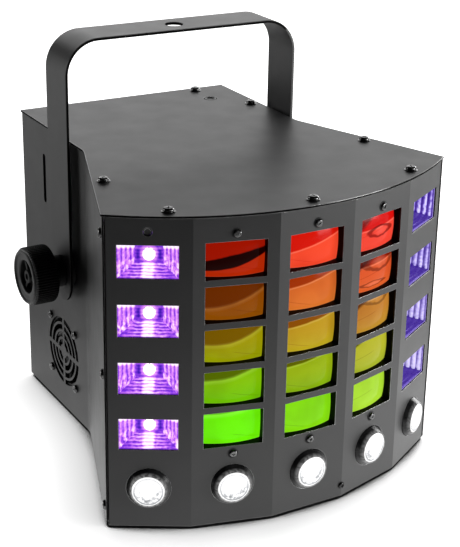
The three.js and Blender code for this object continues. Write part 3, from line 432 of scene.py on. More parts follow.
class Term:
    """A number inside a material, with the usual signs of arithmetic."""

    def __init__(self, nodes, socket):
        self.nodes = nodes
        self.socket = socket

    __add__ = __radd__ = sign("ADD")
    __sub__ = sign("SUBTRACT")
    __rsub__ = sign("SUBTRACT", swapped=True)
    __mul__ = __rmul__ = sign("MULTIPLY")
    __truediv__ = sign("DIVIDE")
    __pow__ = sign("POWER")
    __abs__ = sign("ABSOLUTE")


class Nodes:
    """Short ways to add nodes to a tree and to feed them."""

    def __init__(self, tree):
        self.tree = tree

    def feed(self, node, inputs):
        """Wires terms and outputs to a node's inputs, and sets numbers and colours there."""
        for key, value in inputs.items():
            socket = node.inputs[key]
            value = value.socket if isinstance(value, Term) else value
            if isinstance(value, bpy.types.NodeSocket):
                self.tree.links.new(value, socket)
            else:
                socket.default_value = (*value, 1) if socket.type == "RGBA" else value

    def node(self, kind, inputs=None, **settings):
        made = self.tree.nodes.new(kind)
        for name, value in settings.items():
            setattr(made, name, value)
        self.feed(made, inputs or {})
        return made

    def math(self, operation, a, b=None, clamp=False):
        inputs = {0: a} if b is None else {0: a, 1: b}
        made = self.node("ShaderNodeMath", inputs, operation=operation, use_clamp=clamp)
        return Term(self, made.outputs[0])


class Shade(Nodes):
    """A material and short ways to draw its pattern."""

    def __init__(self, name, color, roughness, metallic=0.0, shine=0.5):
        self.material = bpy.data.materials.new(name)
        self.material.use_nodes = True
        super().__init__(self.material.node_tree)
        self.shader = self.tree.nodes["Principled BSDF"]
        self.feed(self.shader, {"Base Color": color, "Roughness": roughness, "Metallic": metallic,
                                "Specular IOR Level": shine})
        self.point = self.node("ShaderNodeTexCoord").outputs["Object"]

    def noise(self, scale, detail=3.0):
        made = self.node("ShaderNodeTexNoise", {"Vector": self.point, "Scale": scale, "Detail": detail})
        return Term(self, made.outputs["Fac"])

    def wobble(self, scale, detail, size):
        """Noise to both sides of 0."""
        return (self.noise(scale, detail) - 0.5) * size

    def face_place(self, layer):
        """How far right and up a point lies on the piece's face, each from -1 to 1."""
        flat = self.node("ShaderNodeUVMap", uv_map=layer).outputs["UV"]
        parts = self.node("ShaderNodeSeparateXYZ", {0: flat}).outputs
        return [Term(self, parts[axis]) * 2 - 1 for axis in ("X", "Y")]

    def clamped(self, value):
        return self.math("ADD", value, 0, clamp=True)

    def peak(self, distance, width):
        """1 where the distance is 0, falling to 0 at the width."""
        return self.clamped(1 - abs(distance) / width)

    def ripple(self, value):
        return abs(self.math("SINE", value))

    def span(self, value, low, high, start=0.0, end=1.0):
        """Goes from low to high while the value goes from start to end."""
        inputs = {"Value": value, "From Min": start, "From Max": end, "To Min": low, "To Max": high}
        return Term(self, self.node("ShaderNodeMapRange", inputs).outputs["Result"])

    def rise(self, value, start, end):
        return self.span(value, 0.0, 1.0, start, end)

    def ramp(self, value, stops):
        """A colour ramp, from (position, colour) pairs."""
        made = self.node("ShaderNodeValToRGB", {0: value})
        elements = made.color_ramp.elements
        while len(elements) < len(stops):
            elements.new(0.5)
        for element, (position, color) in zip(elements, stops):
            element.position = position
            element.color = (*color, 1)
        return made.outputs[0]

    def cloud(self, scale, detail, dark, light):
        """A colour that drifts between two."""
        return self.ramp(self.noise(scale, detail), [(0.3, dark), (0.7, light)])

    def mix(self, factor, a, b):
        return self.node("ShaderNodeMix", {0: factor, 6: a, 7: b}, data_type="RGBA").outputs[2]

    def color(self, output):
        self.feed(self.shader, {"Base Color": output})

    def glow(self, output, strength):
        self.feed(self.shader, {"Emission Color": output, "Emission Strength": strength})

    def edge_wear_and_highlight(self, base, wear_and_light, radius=0.6 * MM, amount=0.6):
        """Lighter colour in patches along the edges: wear, and a painted highlight where an edge catches the
        light.
        """
        round_normal = self.node("ShaderNodeBevel", {"Radius": radius}, samples=4).outputs["Normal"]
        flat_normal = self.node("ShaderNodeNewGeometry").outputs["Normal"]
        dot = self.node("ShaderNodeVectorMath", {0: round_normal, 1: flat_normal}, operation="DOT_PRODUCT")
        edge = self.span(dot.outputs["Value"], 1.0, 0.0, 0.75, 0.99)
        return self.mix(edge * self.rise(self.noise(160, 4), 0.42, 0.62) * amount, base, wear_and_light)

    def finished(self, uneven, low, high, relief, depth, strength):
        """The material, with a roughness from low to high and a relief some millimetres deep."""
        bump = self.node("ShaderNodeBump", {"Strength": strength, "Distance": depth * MM, "Height": relief})
        self.feed(self.shader, {"Roughness": self.span(uneven, low, high), "Normal": bump.outputs["Normal"]})
        return self.material


def grey(tone):
    return (tone,) * 3


def scaled(color, share):
    return tuple(c * share for c in color)


def powder_coat(name, tone, roughness=0.42, wear_and_light=3.2):
    shade = Shade(name, (tone, tone, tone * 1.03), roughness)
    base = shade.cloud(14, 4, grey(tone * 0.9), (tone * 1.12, tone * 1.12, tone * 1.15))
    shade.color(shade.edge_wear_and_highlight(base, grey(tone * wear_and_light)))
    grain = shade.noise(1500, 2)
    return shade.finished(shade.noise(55), roughness - 0.05, roughness + 0.06, grain, 0.05, 0.35)


def moulded_plastic(name, tone, roughness=0.5, grain=900, shine=0.5, wear_and_light=0.0):
    shade = Shade(name, grey(tone), roughness, shine=shine)
    base = shade.cloud(40, 3, grey(tone * 0.85), grey(tone * 1.2))
    shade.color(shade.edge_wear_and_highlight(base, grey(wear_and_light), 0.35 * MM, 0.8) if wear_and_light else base)
    return shade.finished(shade.noise(120), roughness - 0.08, roughness + 0.1, shade.noise(grain), 0.05, 0.4)


def brushed_metal(name, color, roughness=0.3):
    shade = Shade(name, color, roughness, 1.0)
    stretch = shade.node("ShaderNodeMapping", {"Vector": shade.point, "Scale": (60, 60, 420)})
    made = shade.node("ShaderNodeTexNoise", {"Vector": stretch.outputs["Vector"], "Scale": 1.0})
    streaks = made.outputs["Fac"]
    shade.color(shade.ramp(streaks, [(0.3, scaled(color, 0.8)), (0.7, color)]))
    return shade.finished(streaks, roughness - 0.08, roughness + 0.12, streaks, 0.02, 0.12)


def screw_metal(name, tone, wear_and_light, metallic=0.85, reach=0.5 * MM):
    """Blackened steel, lighter along its edges: bare where the driver and fingers have rubbed it, and painted
    glints.
    """
    shade = Shade(name, grey(tone), 0.24, metallic)
    base = shade.cloud(300, 3, grey(tone * 0.8), grey(tone * 1.3))
    shade.color(shade.edge_wear_and_highlight(base, grey(wear_and_light), reach, 0.9))
    return shade.finished(shade.noise(250), 0.1, 0.2, shade.noise(700, 2), 0.08, 0.6)


def board_green():
    shade = Shade("circuit_board", (0.03, 0.16, 0.07), 0.35)
    tracks = shade.node("ShaderNodeTexBrick", {
        "Vector": shade.point, "Scale": 90, "Color1": (0.02, 0.12, 0.05), "Color2": (0.03, 0.15, 0.07),
        "Mortar": (0.09, 0.28, 0.12), "Mortar Size": 0.02,
    })
    shade.color(tracks.outputs["Color"])
    return shade.finished(shade.noise(80), 0.28, 0.5, tracks.outputs["Fac"], 0.04, 0.5)


def display_plastic():
    """A dark red window in front of the digits."""
    shade = Shade("display_window", (0.05, 0.002, 0.002), 0.1)
    shade.color(shade.cloud(60, 2, (0.04, 0.0015, 0.0015), (0.07, 0.003, 0.003)))
    return shade.finished(shade.noise(200), 0.06, 0.16, shade.noise(300, 1), 0.02, 0.2)


# Painted shade: the sheets' cut edges and the gaps beside them are near-black and without shine
PAINTED_EDGE_SHADE = moulded_plastic("sheet_edge_painted_shade", 0.004, 0.8, shine=0.0)
STEEL = powder_coat("black_powder_coat", 0.016)
# The cover's edges are much lighter than the other sheets': wear, and a painted highlight along them
COVER_STEEL = powder_coat("black_powder_coat_cover", 0.02, 0.44, 8)
# The rounded edges of the cover and the front panel: a lighter metal with lighter edges, a painted highlight
# line, in which the lamps also mirror
COVER_EDGE_HIGHLIGHT = screw_metal("cover_edge_painted_highlight", 0.08, 0.36)
PANEL_EDGE_HIGHLIGHT = screw_metal("panel_edge_painted_highlight", 0.16, 0.5)
STEEL_SHEET = (STEEL, PAINTED_EDGE_SHADE, STEEL)
SCREW_BLACK = screw_metal("black_zinc_screw", 0.1, 0.32, 1.0, 0.25 * MM)
SCREW_DARK = screw_metal("dark_screw", 0.03, 0.4, 1.0, 0.25 * MM)
# Its very light edges paint silver glints on the cross recess and the rim, besides chips
GLINTING_CHIPPED_SCREW = screw_metal("black_screw_chips_and_painted_glints", 0.1, 0.95, 1.0, 0.3 * MM)
PLASTIC = moulded_plastic("black_moulded_plastic", 0.016, 0.42)
# One black plastic in two copies: the knurled grip darker, in painted shade, and the face ring lighter, in
# painted light
KNURL_PAINTED_SHADE = moulded_plastic("knurl_painted_shade", 0.004, 0.42, shine=0.22, wear_and_light=0.1)
FACE_RING_PAINTED_LIGHT = moulded_plastic("knob_ring_painted_light", 0.045, 0.38, shine=0.4, wear_and_light=0.25)
# The frames' black plastic, darker still and without shine: painted shade in the recesses around the lenses
FRAME_BLACK_SHADE = moulded_plastic("lens_frame_painted_shade", 0.001, 0.5, shine=0.03)
RUBBER = moulded_plastic("rubber", 0.012, 0.8, 500)
ALUMINIUM = brushed_metal("bare_aluminium", (0.72, 0.73, 0.74))
NICKEL = brushed_metal("nickel", (0.36, 0.36, 0.37), 0.36)
BOARD = board_green()
DISPLAY = display_plastic()


# Sheet-metal pieces

UV_WIDTH = 34.7 * MM
UV_HEIGHT = 20 * MM
UV_BOTTOM = 53.6 * MM
UV_PITCH = 36.1 * MM
UV_ROWS = 4
UV_CENTRES = [UV_BOTTOM + UV_HEIGHT / 2 + i * UV_PITCH for i in range(UV_ROWS)]
DERBY_WIDTH = 36 * MM
LENS_COLORS = ("red", "orange", "amber", "lime", "green")
DERBY_BOXES = [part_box(f"derby_lens_middle_{color}") for color in LENS_COLORS]
DERBY_WINDOWS = [((low.z + high.z) / 2, high.z - low.z) for low, high in DERBY_BOXES]
STROBE_HEIGHT = 28 * MM
STROBE_HOLE = 13.2 * MM
MIC_HEIGHT = BODY_TOP - 10 * MM
MIC_RADIUS = 2.6 * MM
MIC_PLAY = 0.15 * MM
MIC_RIM = 0.6 * MM
MIC_DEPTH = 4 * MM
MIC_DISH = 0.8 * MM


def rims(inner, outer):
    """The flat flanges at the foot and the head of a wall, between two lines in the plan."""
    ring = inner + list(reversed(outer))
    return [prism(ring, z, z + SHEET) for z in (BASE_TOP + GAP, WALL_HIGH - SHEET)]


def front_panel():
    start = FRONT_LINE[0] + (FRONT_LINE[1] - FRONT_LINE[0]).normalized() * (SHEET + PANEL_GAP)
    front = [start, *FRONT_LINE[1:-1], Vector((-start.x, start.y))]
    back = front[-1] + FLARE * RETURN_FLANGE
    points = [Vector((-back.x, back.y)), *front, back]
    line = FoldedLine(points, [CORNER_FOLD] + [FOLD_RADIUS] * (FACETS - 1) + [CORNER_FOLD])
    corners = line.corner_lengths
    end = corners[-1]
    left, right = corners[1] - CORNER_FOLD, corners[-2] + CORNER_FOLD
    foot, head = WALL_LOW + CORNER_NOTCH, WALL_HIGH - CORNER_NOTCH
    outline = [(0, foot), (left, foot), (left, WALL_LOW), (right, WALL_LOW), (right, foot), (end, foot),
               (end, head), (right, head), (right, WALL_HIGH), (left, WALL_HIGH), (left, head), (0, head)]
    middles = [(a + b) / 2 for a, b in zip(corners[1:-2], corners[2:-1])]
    middles[0], middles[-1] = corners[2] - FACET_WIDTH / 2, corners[-3] + FACET_WIDTH / 2
    holes = []
    for i, s in enumerate(middles):
        holes.append(circle(s, STROBE_HEIGHT, STROBE_HOLE, 56))
        if i in (0, FACETS - 1):
            holes += [rectangle(s, z, UV_WIDTH, UV_HEIGHT) for z in UV_CENTRES]
        else:
            holes += [rectangle(s, z, DERBY_WIDTH, height) for z, height in DERBY_WINDOWS]
    holes.append(circle(middles[0], MIC_HEIGHT, MIC_RADIUS, 24))
    sheet = plate(outline, holes, SHEET)
    # A strip along the right fold takes the black of the cut edges: a painted shadow line
    strip = right - CORNER_FOLD - FOLD_SHADOW
    split(sheet, strip)
    wall = fold(painted(sheet, 1, lambda middle: middle.x > strip), line, upright)
    inner = offset_line(FRONT_LINE, SHEET / 2)
    outer = offset_line(FRONT_LINE, FLANGE_WIDTH)
    reach = FLANGE_WIDTH + GAP
    drop = reach * math.tan(-2 * FACET_TURN)
    for i, side in ((0, 1), (-1, -1)):
        inner[i] = front[i] + Vector((0, SHEET)) + Vector((side * reach, drop))
        outer[i] = outer[i] + Vector((side * reach, 0))
    materials = (STEEL, PAINTED_EDGE_SHADE, PANEL_EDGE_HIGHLIGHT)
    piece("front_panel_sheet", joined([wall, *rims(inner, outer)]), materials,
          replaced="front_panel")


def microphone():
    """A small capsule behind the hole at the top of the left facet."""
    rim = MIC_RADIUS - MIC_PLAY
    front = mm_points((1.5, -4), (1.5, -1.5), (0, -1.5), (0, -0.5), (-0.3, -0.2), (-0.6, -0.3), (-0.8, -0.7),
                      x=rim)
    body = turned([(0, -MIC_DEPTH), *front, (0, -MIC_DISH)], 32)
    # Its rim takes the glinting screw metal, whose lighter edges paint glints around the hole
    painted(body, 1, lambda middle: middle.xy.length > rim - MIC_RIM)
    piece("microphone", moved(body, shifted(FACET_PLACES[0], 0, MIC_HEIGHT)), (PLASTIC, GLINTING_CHIPPED_SCREW))


FAN_LOW, FAN_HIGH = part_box("fan_frame")
FAN_Y = (FAN_LOW.y + FAN_HIGH.y) / 2
FAN_Z = (FAN_LOW.z + FAN_HIGH.z) / 2
GRILLE_RINGS = 4
GRILLE_SLOT = 3.45 * MM
GRILLE_BAR = 1.9 * MM
GRILLE_DISC = 4.9 * MM
GRILLE_SPOKE = 3.2 * MM
VENT_SLOTS = 5
VENT_PITCH = 10.5 * MM
VENT_WIDTH = 4.2 * MM
VENT_LENGTH = 34 * MM
VENT_Y = REAR_Y - 57.9 * MM
VENT_Z = BODY_TOP - 38 * MM
INTAKE_Z = 44.5 * MM
INTAKE_Y = REAR_Y - 61.4 * MM
NUT_RADIUS = 8 * MM
NUT_BORE = 4.3 * MM
NUT_DEPTH = 7.2 * MM


def grille_holes(x, y):
    def quarter_arc(radius, quarter, steps):
        spoke = math.asin(GRILLE_SPOKE / 2 / radius)
        return arc(x, y, radius, quarter * math.pi / 2 + spoke, math.pi / 2 - 2 * spoke, steps)

    holes = []
    for ring in range(GRILLE_RINGS):
        inner = GRILLE_DISC + ring * (GRILLE_SLOT + GRILLE_BAR)
        steps = 6 + 3 * ring
        for quarter in range(4):
            outside = quarter_arc(inner + GRILLE_SLOT, quarter, steps)
            holes.append(outside + quarter_arc(inner, quarter, steps)[::-1])
    return holes


def vent_holes(s, z):
    middle = (VENT_SLOTS - 1) / 2
    return [round_bar(s + (i - middle) * VENT_PITCH, z, VENT_WIDTH, VENT_LENGTH) for i in range(VENT_SLOTS)]


def side_panel(name, side):
    points = SIDE_LINE if side > 0 else mirrored(SIDE_LINE)
    line = FoldedLine(points, [KINK_RADIUS], KINK_STEPS)
    total = line.corner_lengths[-1]
    outline = [(0, WALL_LOW), (total, WALL_LOW), (total, WALL_HIGH), (0, WALL_HIGH)]

    def along(y):
        return total - (REAR_Y - y) if side > 0 else REAR_Y - y

    holes = vent_holes(along(VENT_Y), VENT_Z)
    holes += grille_holes(along(FAN_Y), FAN_Z) if side < 0 else vent_holes(along(INTAKE_Y), INTAKE_Z)
    wall = fold(plate(outline, holes, SHEET), line, upright)
    flanges = rims(offset_line(points, SHEET / 2), offset_line(points, FLANGE_WIDTH))
    nut = moved(tube(NUT_BORE, NUT_RADIUS, -NUT_DEPTH, -SHEET, 32), side_place(side, PIVOT.y, PIVOT.z))
    piece(f"{name}_sheet", joined([wall, *flanges, nut]), STEEL_SHEET, replaced=name)


def cover_outline():
    side = FoldedLine(SIDE_LINE, [KINK_RADIUS], KINK_STEPS)
    right = [p + n * COVER_OVERHANG for p, n in zip(side.points, side.normals)]
    right[-1] = right[-1] + Vector((0, COVER_OVERHANG))
    corner = right[0]
    rise = corner.y - (FRONT_Y - COVER_FRONT_OVERHANG)
    radius = (corner.x ** 2 + rise ** 2) / (2 * rise)
    centre_y = corner.y - rise + radius
    half_angle = math.atan2(corner.x, centre_y - corner.y)
    front = []
    for i in range(1, COVER_ARC_STEPS):
        t = half_angle * (2 * i / COVER_ARC_STEPS - 1)
        front.append((radius * math.sin(t), centre_y - radius * math.cos(t)))
    return front + [(p.x, p.y) for p in right + mirrored(right)]


PLUG_X = 52.7 * MM
PLUG_Y = REAR_Y - 29.5 * MM
PLUG_RADIUS = 4.7 * MM


def top_cover():
    hole = circle(PLUG_X, PLUG_Y, PLUG_RADIUS, 32)
    sheet = plate(cover_outline(), [hole], BODY_TOP - COVER_BOTTOM, COVER_EDGE_ROUND)
    piece("top_cover_sheet", moved(sheet, ON_COVER), (COVER_STEEL, PAINTED_EDGE_SHADE, COVER_EDGE_HIGHLIGHT),
          replaced="top_cover")


def cover_plug():
    """A flush, dished plug in the round hole near the cover's rear right corner."""
    profile = mm_points((0, -1.8), (3.6, -1.8), (4.1, -0.7), (4.25, -0.3), (4.1, -0.05), (3.5, -0.05),
                        (3, -0.4), (2.4, -0.8), (1.2, -0.8), (0, -0.6))
    plug = moved(turned(profile, 32), shifted(ON_COVER, PLUG_X, PLUG_Y))
    piece("cover_plug", plug, PLASTIC)


# Bracket, knobs and washers

BRACKET_LOW, BRACKET_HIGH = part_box("bracket")
BRACKET_THICKNESS = 2 * MM
BRACKET_BEND = 23 * MM
BRACKET_EDGE_ROUND = 0.35 * MM
CLAMP_HOLE = 6 * MM
PIVOT_HEIGHT = 110 * MM
PIVOT = Vector((0, (BRACKET_LOW.y + BRACKET_HIGH.y) / 2, PIVOT_HEIGHT))
BOLT_RADIUS = 4 * MM


def bracket():
    half, ends = BRACKET_HIGH.x, BRACKET_LOW.z
    leg = [Vector((half, ends)), Vector((half, BRACKET_HIGH.z))]
    line = FoldedLine(leg + mirrored(leg), [BRACKET_BEND, BRACKET_BEND], 20)
    total = line.corner_lengths[-1]
    radius = (BRACKET_HIGH.y - BRACKET_LOW.y) / 2
    outline = arc(total - radius, 0, radius, -math.pi / 2, math.pi, 24)
    outline += arc(radius, 0, radius, math.pi / 2, math.pi, 24)
    to_pivot = PIVOT.z - ends
    holes = [circle(s, 0, BOLT_RADIUS + GAP) for s in (to_pivot, total - to_pivot)]
    holes.append(circle(total / 2, 0, CLAMP_HOLE, 48))
    bar = plate(outline, holes, BRACKET_THICKNESS, BRACKET_EDGE_ROUND)
    fold(bar, line, lambda point, across: Vector((point.x, PIVOT.y + across, point.y)))
    # The right leg's cut edge catches the light, so it keeps the coat instead of the black painted shade of
    # the other cut edges
    for face in bar.faces:
        if face.material_index == 1 and face.calc_center_median().x > half - BRACKET_BEND / 3:
            face.material_index = 0
    piece("bracket_bar", bar, STEEL_SHEET, "bracket", "bracket")


HUB_RADIUS = 10.5 * MM
HUB_LENGTH = 8 * MM
KNOB_RADIUS = 19.3 * MM
KNOB_LENGTH = 17.6 * MM
KNOB_RIBS = 66
KNURL_DEPTH = 0.75 * MM
KNURL_REACH = 0.9 * MM
KNOB_FACE_DEPTH = 2.7 * MM
KNOB_RECESS_RADIUS = 11 * MM
RIB_COUNT = 3
RIB_FOOT_DEPTH = 6.2 * MM
RIB_TOP_DEPTH = 3.3 * MM
BOLT_TIP = 16.2 * MM
WASHER_RADIUS = 12 * MM
WASHER_THICKNESS = 3.4 * MM
WASHER_EDGE = 0.3 * MM


def knob_mesh():
    """A knurled knob with its hub and bolt, and three ribs in the recess of its face."""
    face = HUB_LENGTH + KNOB_LENGTH
    rim = KNOB_RADIUS

    def knurl(radius, height, turn):
        if radius < rim - KNURL_REACH or height < HUB_LENGTH:
            return 0.0
        return -KNURL_DEPTH * (1 - abs(math.sin(turn * KNOB_RIBS / 2))) ** 1.5

    profile = [
        (0, -BOLT_TIP), *mm_points((-0.6, 0), (0, 0.6), x=BOLT_RADIUS, y=-BOLT_TIP),
        (BOLT_RADIUS, 0), *mm_points((-0.4, 0), (0, 0.4), x=HUB_RADIUS),
        *mm_points((0, -0.5), (0.5, 0), x=HUB_RADIUS, y=HUB_LENGTH),
        *mm_points((-1.6, 0), (-0.8, 0.3), (-0.2, 1), (0, 1.8), x=rim, y=HUB_LENGTH),
        *mm_points((0, -2.6), (-0.2, -2), (-1, -1.3), (-1.4, -1.2), (-1.5, -0.5), (-2, -0.05), (-2.9, 0),
                   (-3.4, -0.5), (-3.6, -1), (-4.2, -1.15), x=rim, y=face),
        *mm_points((13.2, -1.3), (12, -1.2), (11.3, -1.5), (10.9, -2.2), (10.4, -6), (5.2, -6), (4.9, -5.6),
                   (4.5, -2.6), (4.1, -2.1), (2.2, -2), (1.9, -3.2), (0, -3.2), y=face),
    ]
    body = turned(profile, KNOB_RIBS * 6, knurl)
    # The face ring takes the lighter copy of the plastic, painted light; the grip keeps the darker one,
    # painted shade
    painted(body, 1, lambda m: m.z > face - KNOB_FACE_DEPTH and m.xy.length > KNOB_RECESS_RADIUS)
    outline = mm_points((3.5, -1.1), (11, -1.1), (11, 1.1), (3.5, 1.1))
    ribs = []
    for i in range(RIB_COUNT):
        rib = prism(outline, face - RIB_FOOT_DEPTH, face - RIB_TOP_DEPTH)
        ribs.append(moved(rib, Matrix.Rotation(2 * math.pi * i / RIB_COUNT, 4, "Z")))
    return joined([body, *ribs])


def knobs_and_washers():
    seat = BRACKET_HIGH.x - REAR_WIDTH / 2 + GAP
    inner, outer, edge = BOLT_RADIUS + GAP, WASHER_RADIUS, WASHER_EDGE
    ring = [(inner, 0), (outer - edge, 0), (outer, edge), (outer, WASHER_THICKNESS - edge),
            (outer - edge, WASHER_THICKNESS), (inner, WASHER_THICKNESS), (inner, 0)]
    for name, side in (("left", -1), ("right", 1)):
        place = side_place(side, PIVOT.y, PIVOT.z)
        piece(f"knob_{name}_body", moved(knob_mesh(), shifted(place, z=seat)), (KNURL_PAINTED_SHADE, FACE_RING_PAINTED_LIGHT),
              f"knob_{name}", f"clamp_knob_{name}")
        piece(f"washer_{name}_ring", moved(turned(ring), shifted(place, z=GAP)), RUBBER,
              replaced=f"friction_washer_{name}")


# Screws

COVER_SCREW_INSET = 6.3 * MM
COVER_SCREW_REAR_X = 53 * MM
COVER_SCREW_SIDE_Y = REAR_Y - 54 * MM
COVER_SCREW_FRONT_X = 83 * MM
COVER_SCREW_FLARE_SHARE = 0.48
EDGE_SCREW_INSET = 5.5 * MM
EDGE_SCREW_END = 11 * MM
FRAME_SCREW_INSET = 5 * MM
FAN_SCREW_REACH = 20 * MM
FOLD_SCREW_FOLD = 3
FOLD_SCREW_HEIGHT = 9.3 * MM
FOLD_SCREW_SINK = 0.1 * MM
SHANK_DEPTH = 1.5 * MM
SHANK_SHARE = 0.45
FLANGE_EDGE = 0.4 * MM
FLANGE_HEIGHT = 0.6 * MM

# The cross recess: length and width in the head's radius, depth in its height, and how much it narrows
CROSS_LENGTH = 2 * 0.58
CROSS_WIDTH = 0.24
CROSS_DEPTH = 0.62
CROSS_TAPER = 0.55


def pan_head(radius, height, flange=0.0):
    """A pan-head screw with a cross recess, on its seat at height 0. Its sizes are in millimetres."""
    radius, height, flange = radius * MM, height * MM, flange * MM
    profile = [(0, -SHANK_DEPTH), (radius * SHANK_SHARE, -SHANK_DEPTH), (radius * SHANK_SHARE, 0)]
    if flange:
        profile += [(radius + flange, 0), (radius + flange, FLANGE_EDGE),
                    (radius + flange * 0.6, FLANGE_HEIGHT)]
    profile.append((radius, FLANGE_HEIGHT if flange else 0))
    for i in range(7):
        t = math.pi / 2 * i / 6
        profile.append((radius * (0.62 + 0.38 * math.cos(t)), height * (0.45 + 0.55 * math.sin(t))))
    profile.append((0, height * 1.02))
    floor_height = height * (1 - CROSS_DEPTH)
    tools = []
    for quarter in range(2):
        tool = prism(rectangle(0, 0, radius * CROSS_LENGTH, radius * CROSS_WIDTH), floor_height, height * 1.3)
        for vert in tool.verts:
            if vert.co.z < height:
                vert.co.x *= CROSS_TAPER
        tools.append(moved(tool, Matrix.Rotation(quarter * math.pi / 2, 4, "Z")))
    return carved(turned(profile, 32), tools)


def cover_screw_points():
    fold_point = FRONT_LINE[-2]
    along_facet = (COVER_SCREW_FRONT_X - fold_point.x) * math.tan(2 * FACET_TURN)
    front_y = fold_point.y + along_facet + COVER_SCREW_INSET / math.cos(2 * FACET_TURN)
    right = [
        Vector((COVER_SCREW_REAR_X, REAR_Y - COVER_SCREW_INSET)),
        Vector((REAR_WIDTH / 2 - COVER_SCREW_INSET, COVER_SCREW_SIDE_Y)),
        CORNER.lerp(KINK, COVER_SCREW_FLARE_SHARE) + left_normal(CORNER, KINK) * COVER_SCREW_INSET,
        Vector((COVER_SCREW_FRONT_X, front_y)),
    ]
    return right + mirrored(right) + [Vector((0, FRONT_Y + COVER_SCREW_INSET))]


def edge_screw_places():
    heights = (WALL_LOW + EDGE_SCREW_END, (WALL_LOW + WALL_HIGH) / 2, WALL_HIGH - EDGE_SCREW_END)
    point = CORNER + FLARE * EDGE_SCREW_INSET
    lean = math.atan2(-FLARE.x, FLARE.y)
    places = []
    for side in (-1, 1):
        turn = side * (math.pi / 2 + lean)
        places += [shifted(wall_place(side * point.x, point.y, z, turn), turn=z * 90) for z in heights]
    return places


def screws():
    """Screw heads of several sizes, each turned as it happened to stop."""
    cover = [shifted(ON_COVER, p.x, p.y, 0, 0.5 + i * 1.3) for i, p in enumerate(cover_screw_points())]
    heights = (DERBY_BOXES[-1][0].z - FRAME_SCREW_INSET, DERBY_BOXES[0][1].z + FRAME_SCREW_INSET)
    frames = [shifted(FACET_PLACES[i], 0, z, 0, 0.6 + i) for i in range(1, FACETS - 1) for z in heights]
    fan_place = side_place(-1, FAN_Y, FAN_Z)
    fan = [shifted(fan_place, a * FAN_SCREW_REACH, b * FAN_SCREW_REACH, 0, a + b * 2)
           for a in (-1, 1) for b in (-1, 1)]
    point = FRONT_LINE[FOLD_SCREW_FOLD]
    turn = (FOLD_SCREW_FOLD - FACETS / 2) * FACET_TURN
    low_fold = shifted(wall_place(point.x, point.y, FOLD_SCREW_HEIGHT, turn), z=-FOLD_SCREW_SINK)
    # A dark ring around each lens-frame screw head: painted shade in the gap around it
    rim = mm_points((2.2, -0.4), (3.2, -0.4), (3.2, 0.15), (2.6, 0.3), (2.2, 0.3), (2.2, -0.4))
    for name, template, places, material in (
        ("cover_screws", pan_head(3.3, 2.6, 0.8), cover, SCREW_BLACK),
        ("edge_screws", pan_head(3.0, 1.8), edge_screw_places(), SCREW_BLACK),
        ("lens_frame_screws", pan_head(2.4, 1.7), frames, GLINTING_CHIPPED_SCREW),
        ("lens_frame_screw_painted_shadows", turned(rim, 32), frames, RUBBER),
        ("fan_screws", pan_head(2.8, 1.8), fan, GLINTING_CHIPPED_SCREW),
        ("fold_screw", pan_head(2.3, 1.2), [low_fold], SCREW_DARK),
    ):
        piece(name, copies(template, places), material)


# Lenses

LENS_DEPTH = 7 * MM
LENS_CROWN = 50 * MM
LENS_RIM = 0.7 * MM
LENS_RIM_SHARES = (0, 0.08, 0.22, 0.45, 0.7, 1.0)
LENS_STEPS = 14
LENS_APEX = SHEET + 0.7 * MM

# What each lens shows: hue in degrees above and below its slanted edge, how much the hue falls from one
# column to the next, how bright the two parts are, and how much darker the left column is
LENS_TONES = {
    "red": (7, 12, 3, 0.80, 0.92, 0.74),
    "orange": (24, 29, 7, 0.60, 0.82, 0.66),
    "amber": (44, 57, 12, 0.52, 0.71, 0.86),
    "lime": (72, 80, 10, 0.36, 0.67, 1.10),
    "green": (89, 94, 8, 0.50, 0.84, 1.12),
}

# How much the hue rises towards the foot of a lens, by row
LENS_DEEPENING = (0, 3, 7, 7, 0)

# How pale each lens is, by column and row
LENS_PALENESS = (
    (0.03, 0.03, 0.03, 0.03, 0.03),
    (0.18, 0.2, 0.17, 0.1, 0.08),
    (0.23, 0.19, 0.24, 0.25, 0.24),
)

# The slanted edge's height at its left side, down from the top, its slope and its bow, by column and row
LENS_EDGES = (
    ((0.83, -0.01, -0.38), (0.67, -0.1, -0.37), (0.5, 0.12, -0.52), (0.35, -0.1, -0.25), (0.14, -0.1, -0.05)),
    ((0.57, -0.38, 0.0), (0.37, -0.30, 0.0), (0.30, -0.22, 0.0), (0.24, -0.24, 0.0), (0.06, -0.08, 0.0)),
    ((0.42, -0.10, 0.0), (0.28, -0.12, 0.0), (0.12, -0.10, 0.0), (-0.1, 0.0, 0.0), (-0.1, 0.0, 0.0)),
)

# A thin moulding line in the lower part: its height and slope and the middle of its run, by column
LENS_SEAMS = ((0.50, 0.42, 0.72), (0.70, 0.40, 0.22), (0.62, -0.3, 0.3))

# The shadow in the right column's upper left corners: width, height, and how much lower it is on each row
SHADOW_WIDTH = 0.46
SHADOW_HEIGHT = 0.62
SHADOW_FALL = 0.1

# A dark band in the first lens: its height, slope and bow
LENS_BAND = (0.56, -0.38, 0.08)

# Rings that the right column mirrors: row, place from the left and the top, half sizes, contrast
LENS_RINGS = (
    (0, 0.55, 0.50, 0.27, 0.15, 0.8),
    (1, 0.58, 0.22, 0.33, 0.22, 0.6),
    (1, 0.45, 0.80, 0.28, 0.07, 0.6),
    (2, 0.58, 0.05, 0.32, 0.20, 0.5),
)


def light_tone(hue, saturation, value):
    """A colour from a hue in degrees and from values as a screen shows them."""
    screen = colorsys.hsv_to_rgb(hue / 360, saturation, value)
    return tuple(((c + 0.055) / 1.055) ** 2.4 if c > 0.04 else c / 12.92 for c in screen)


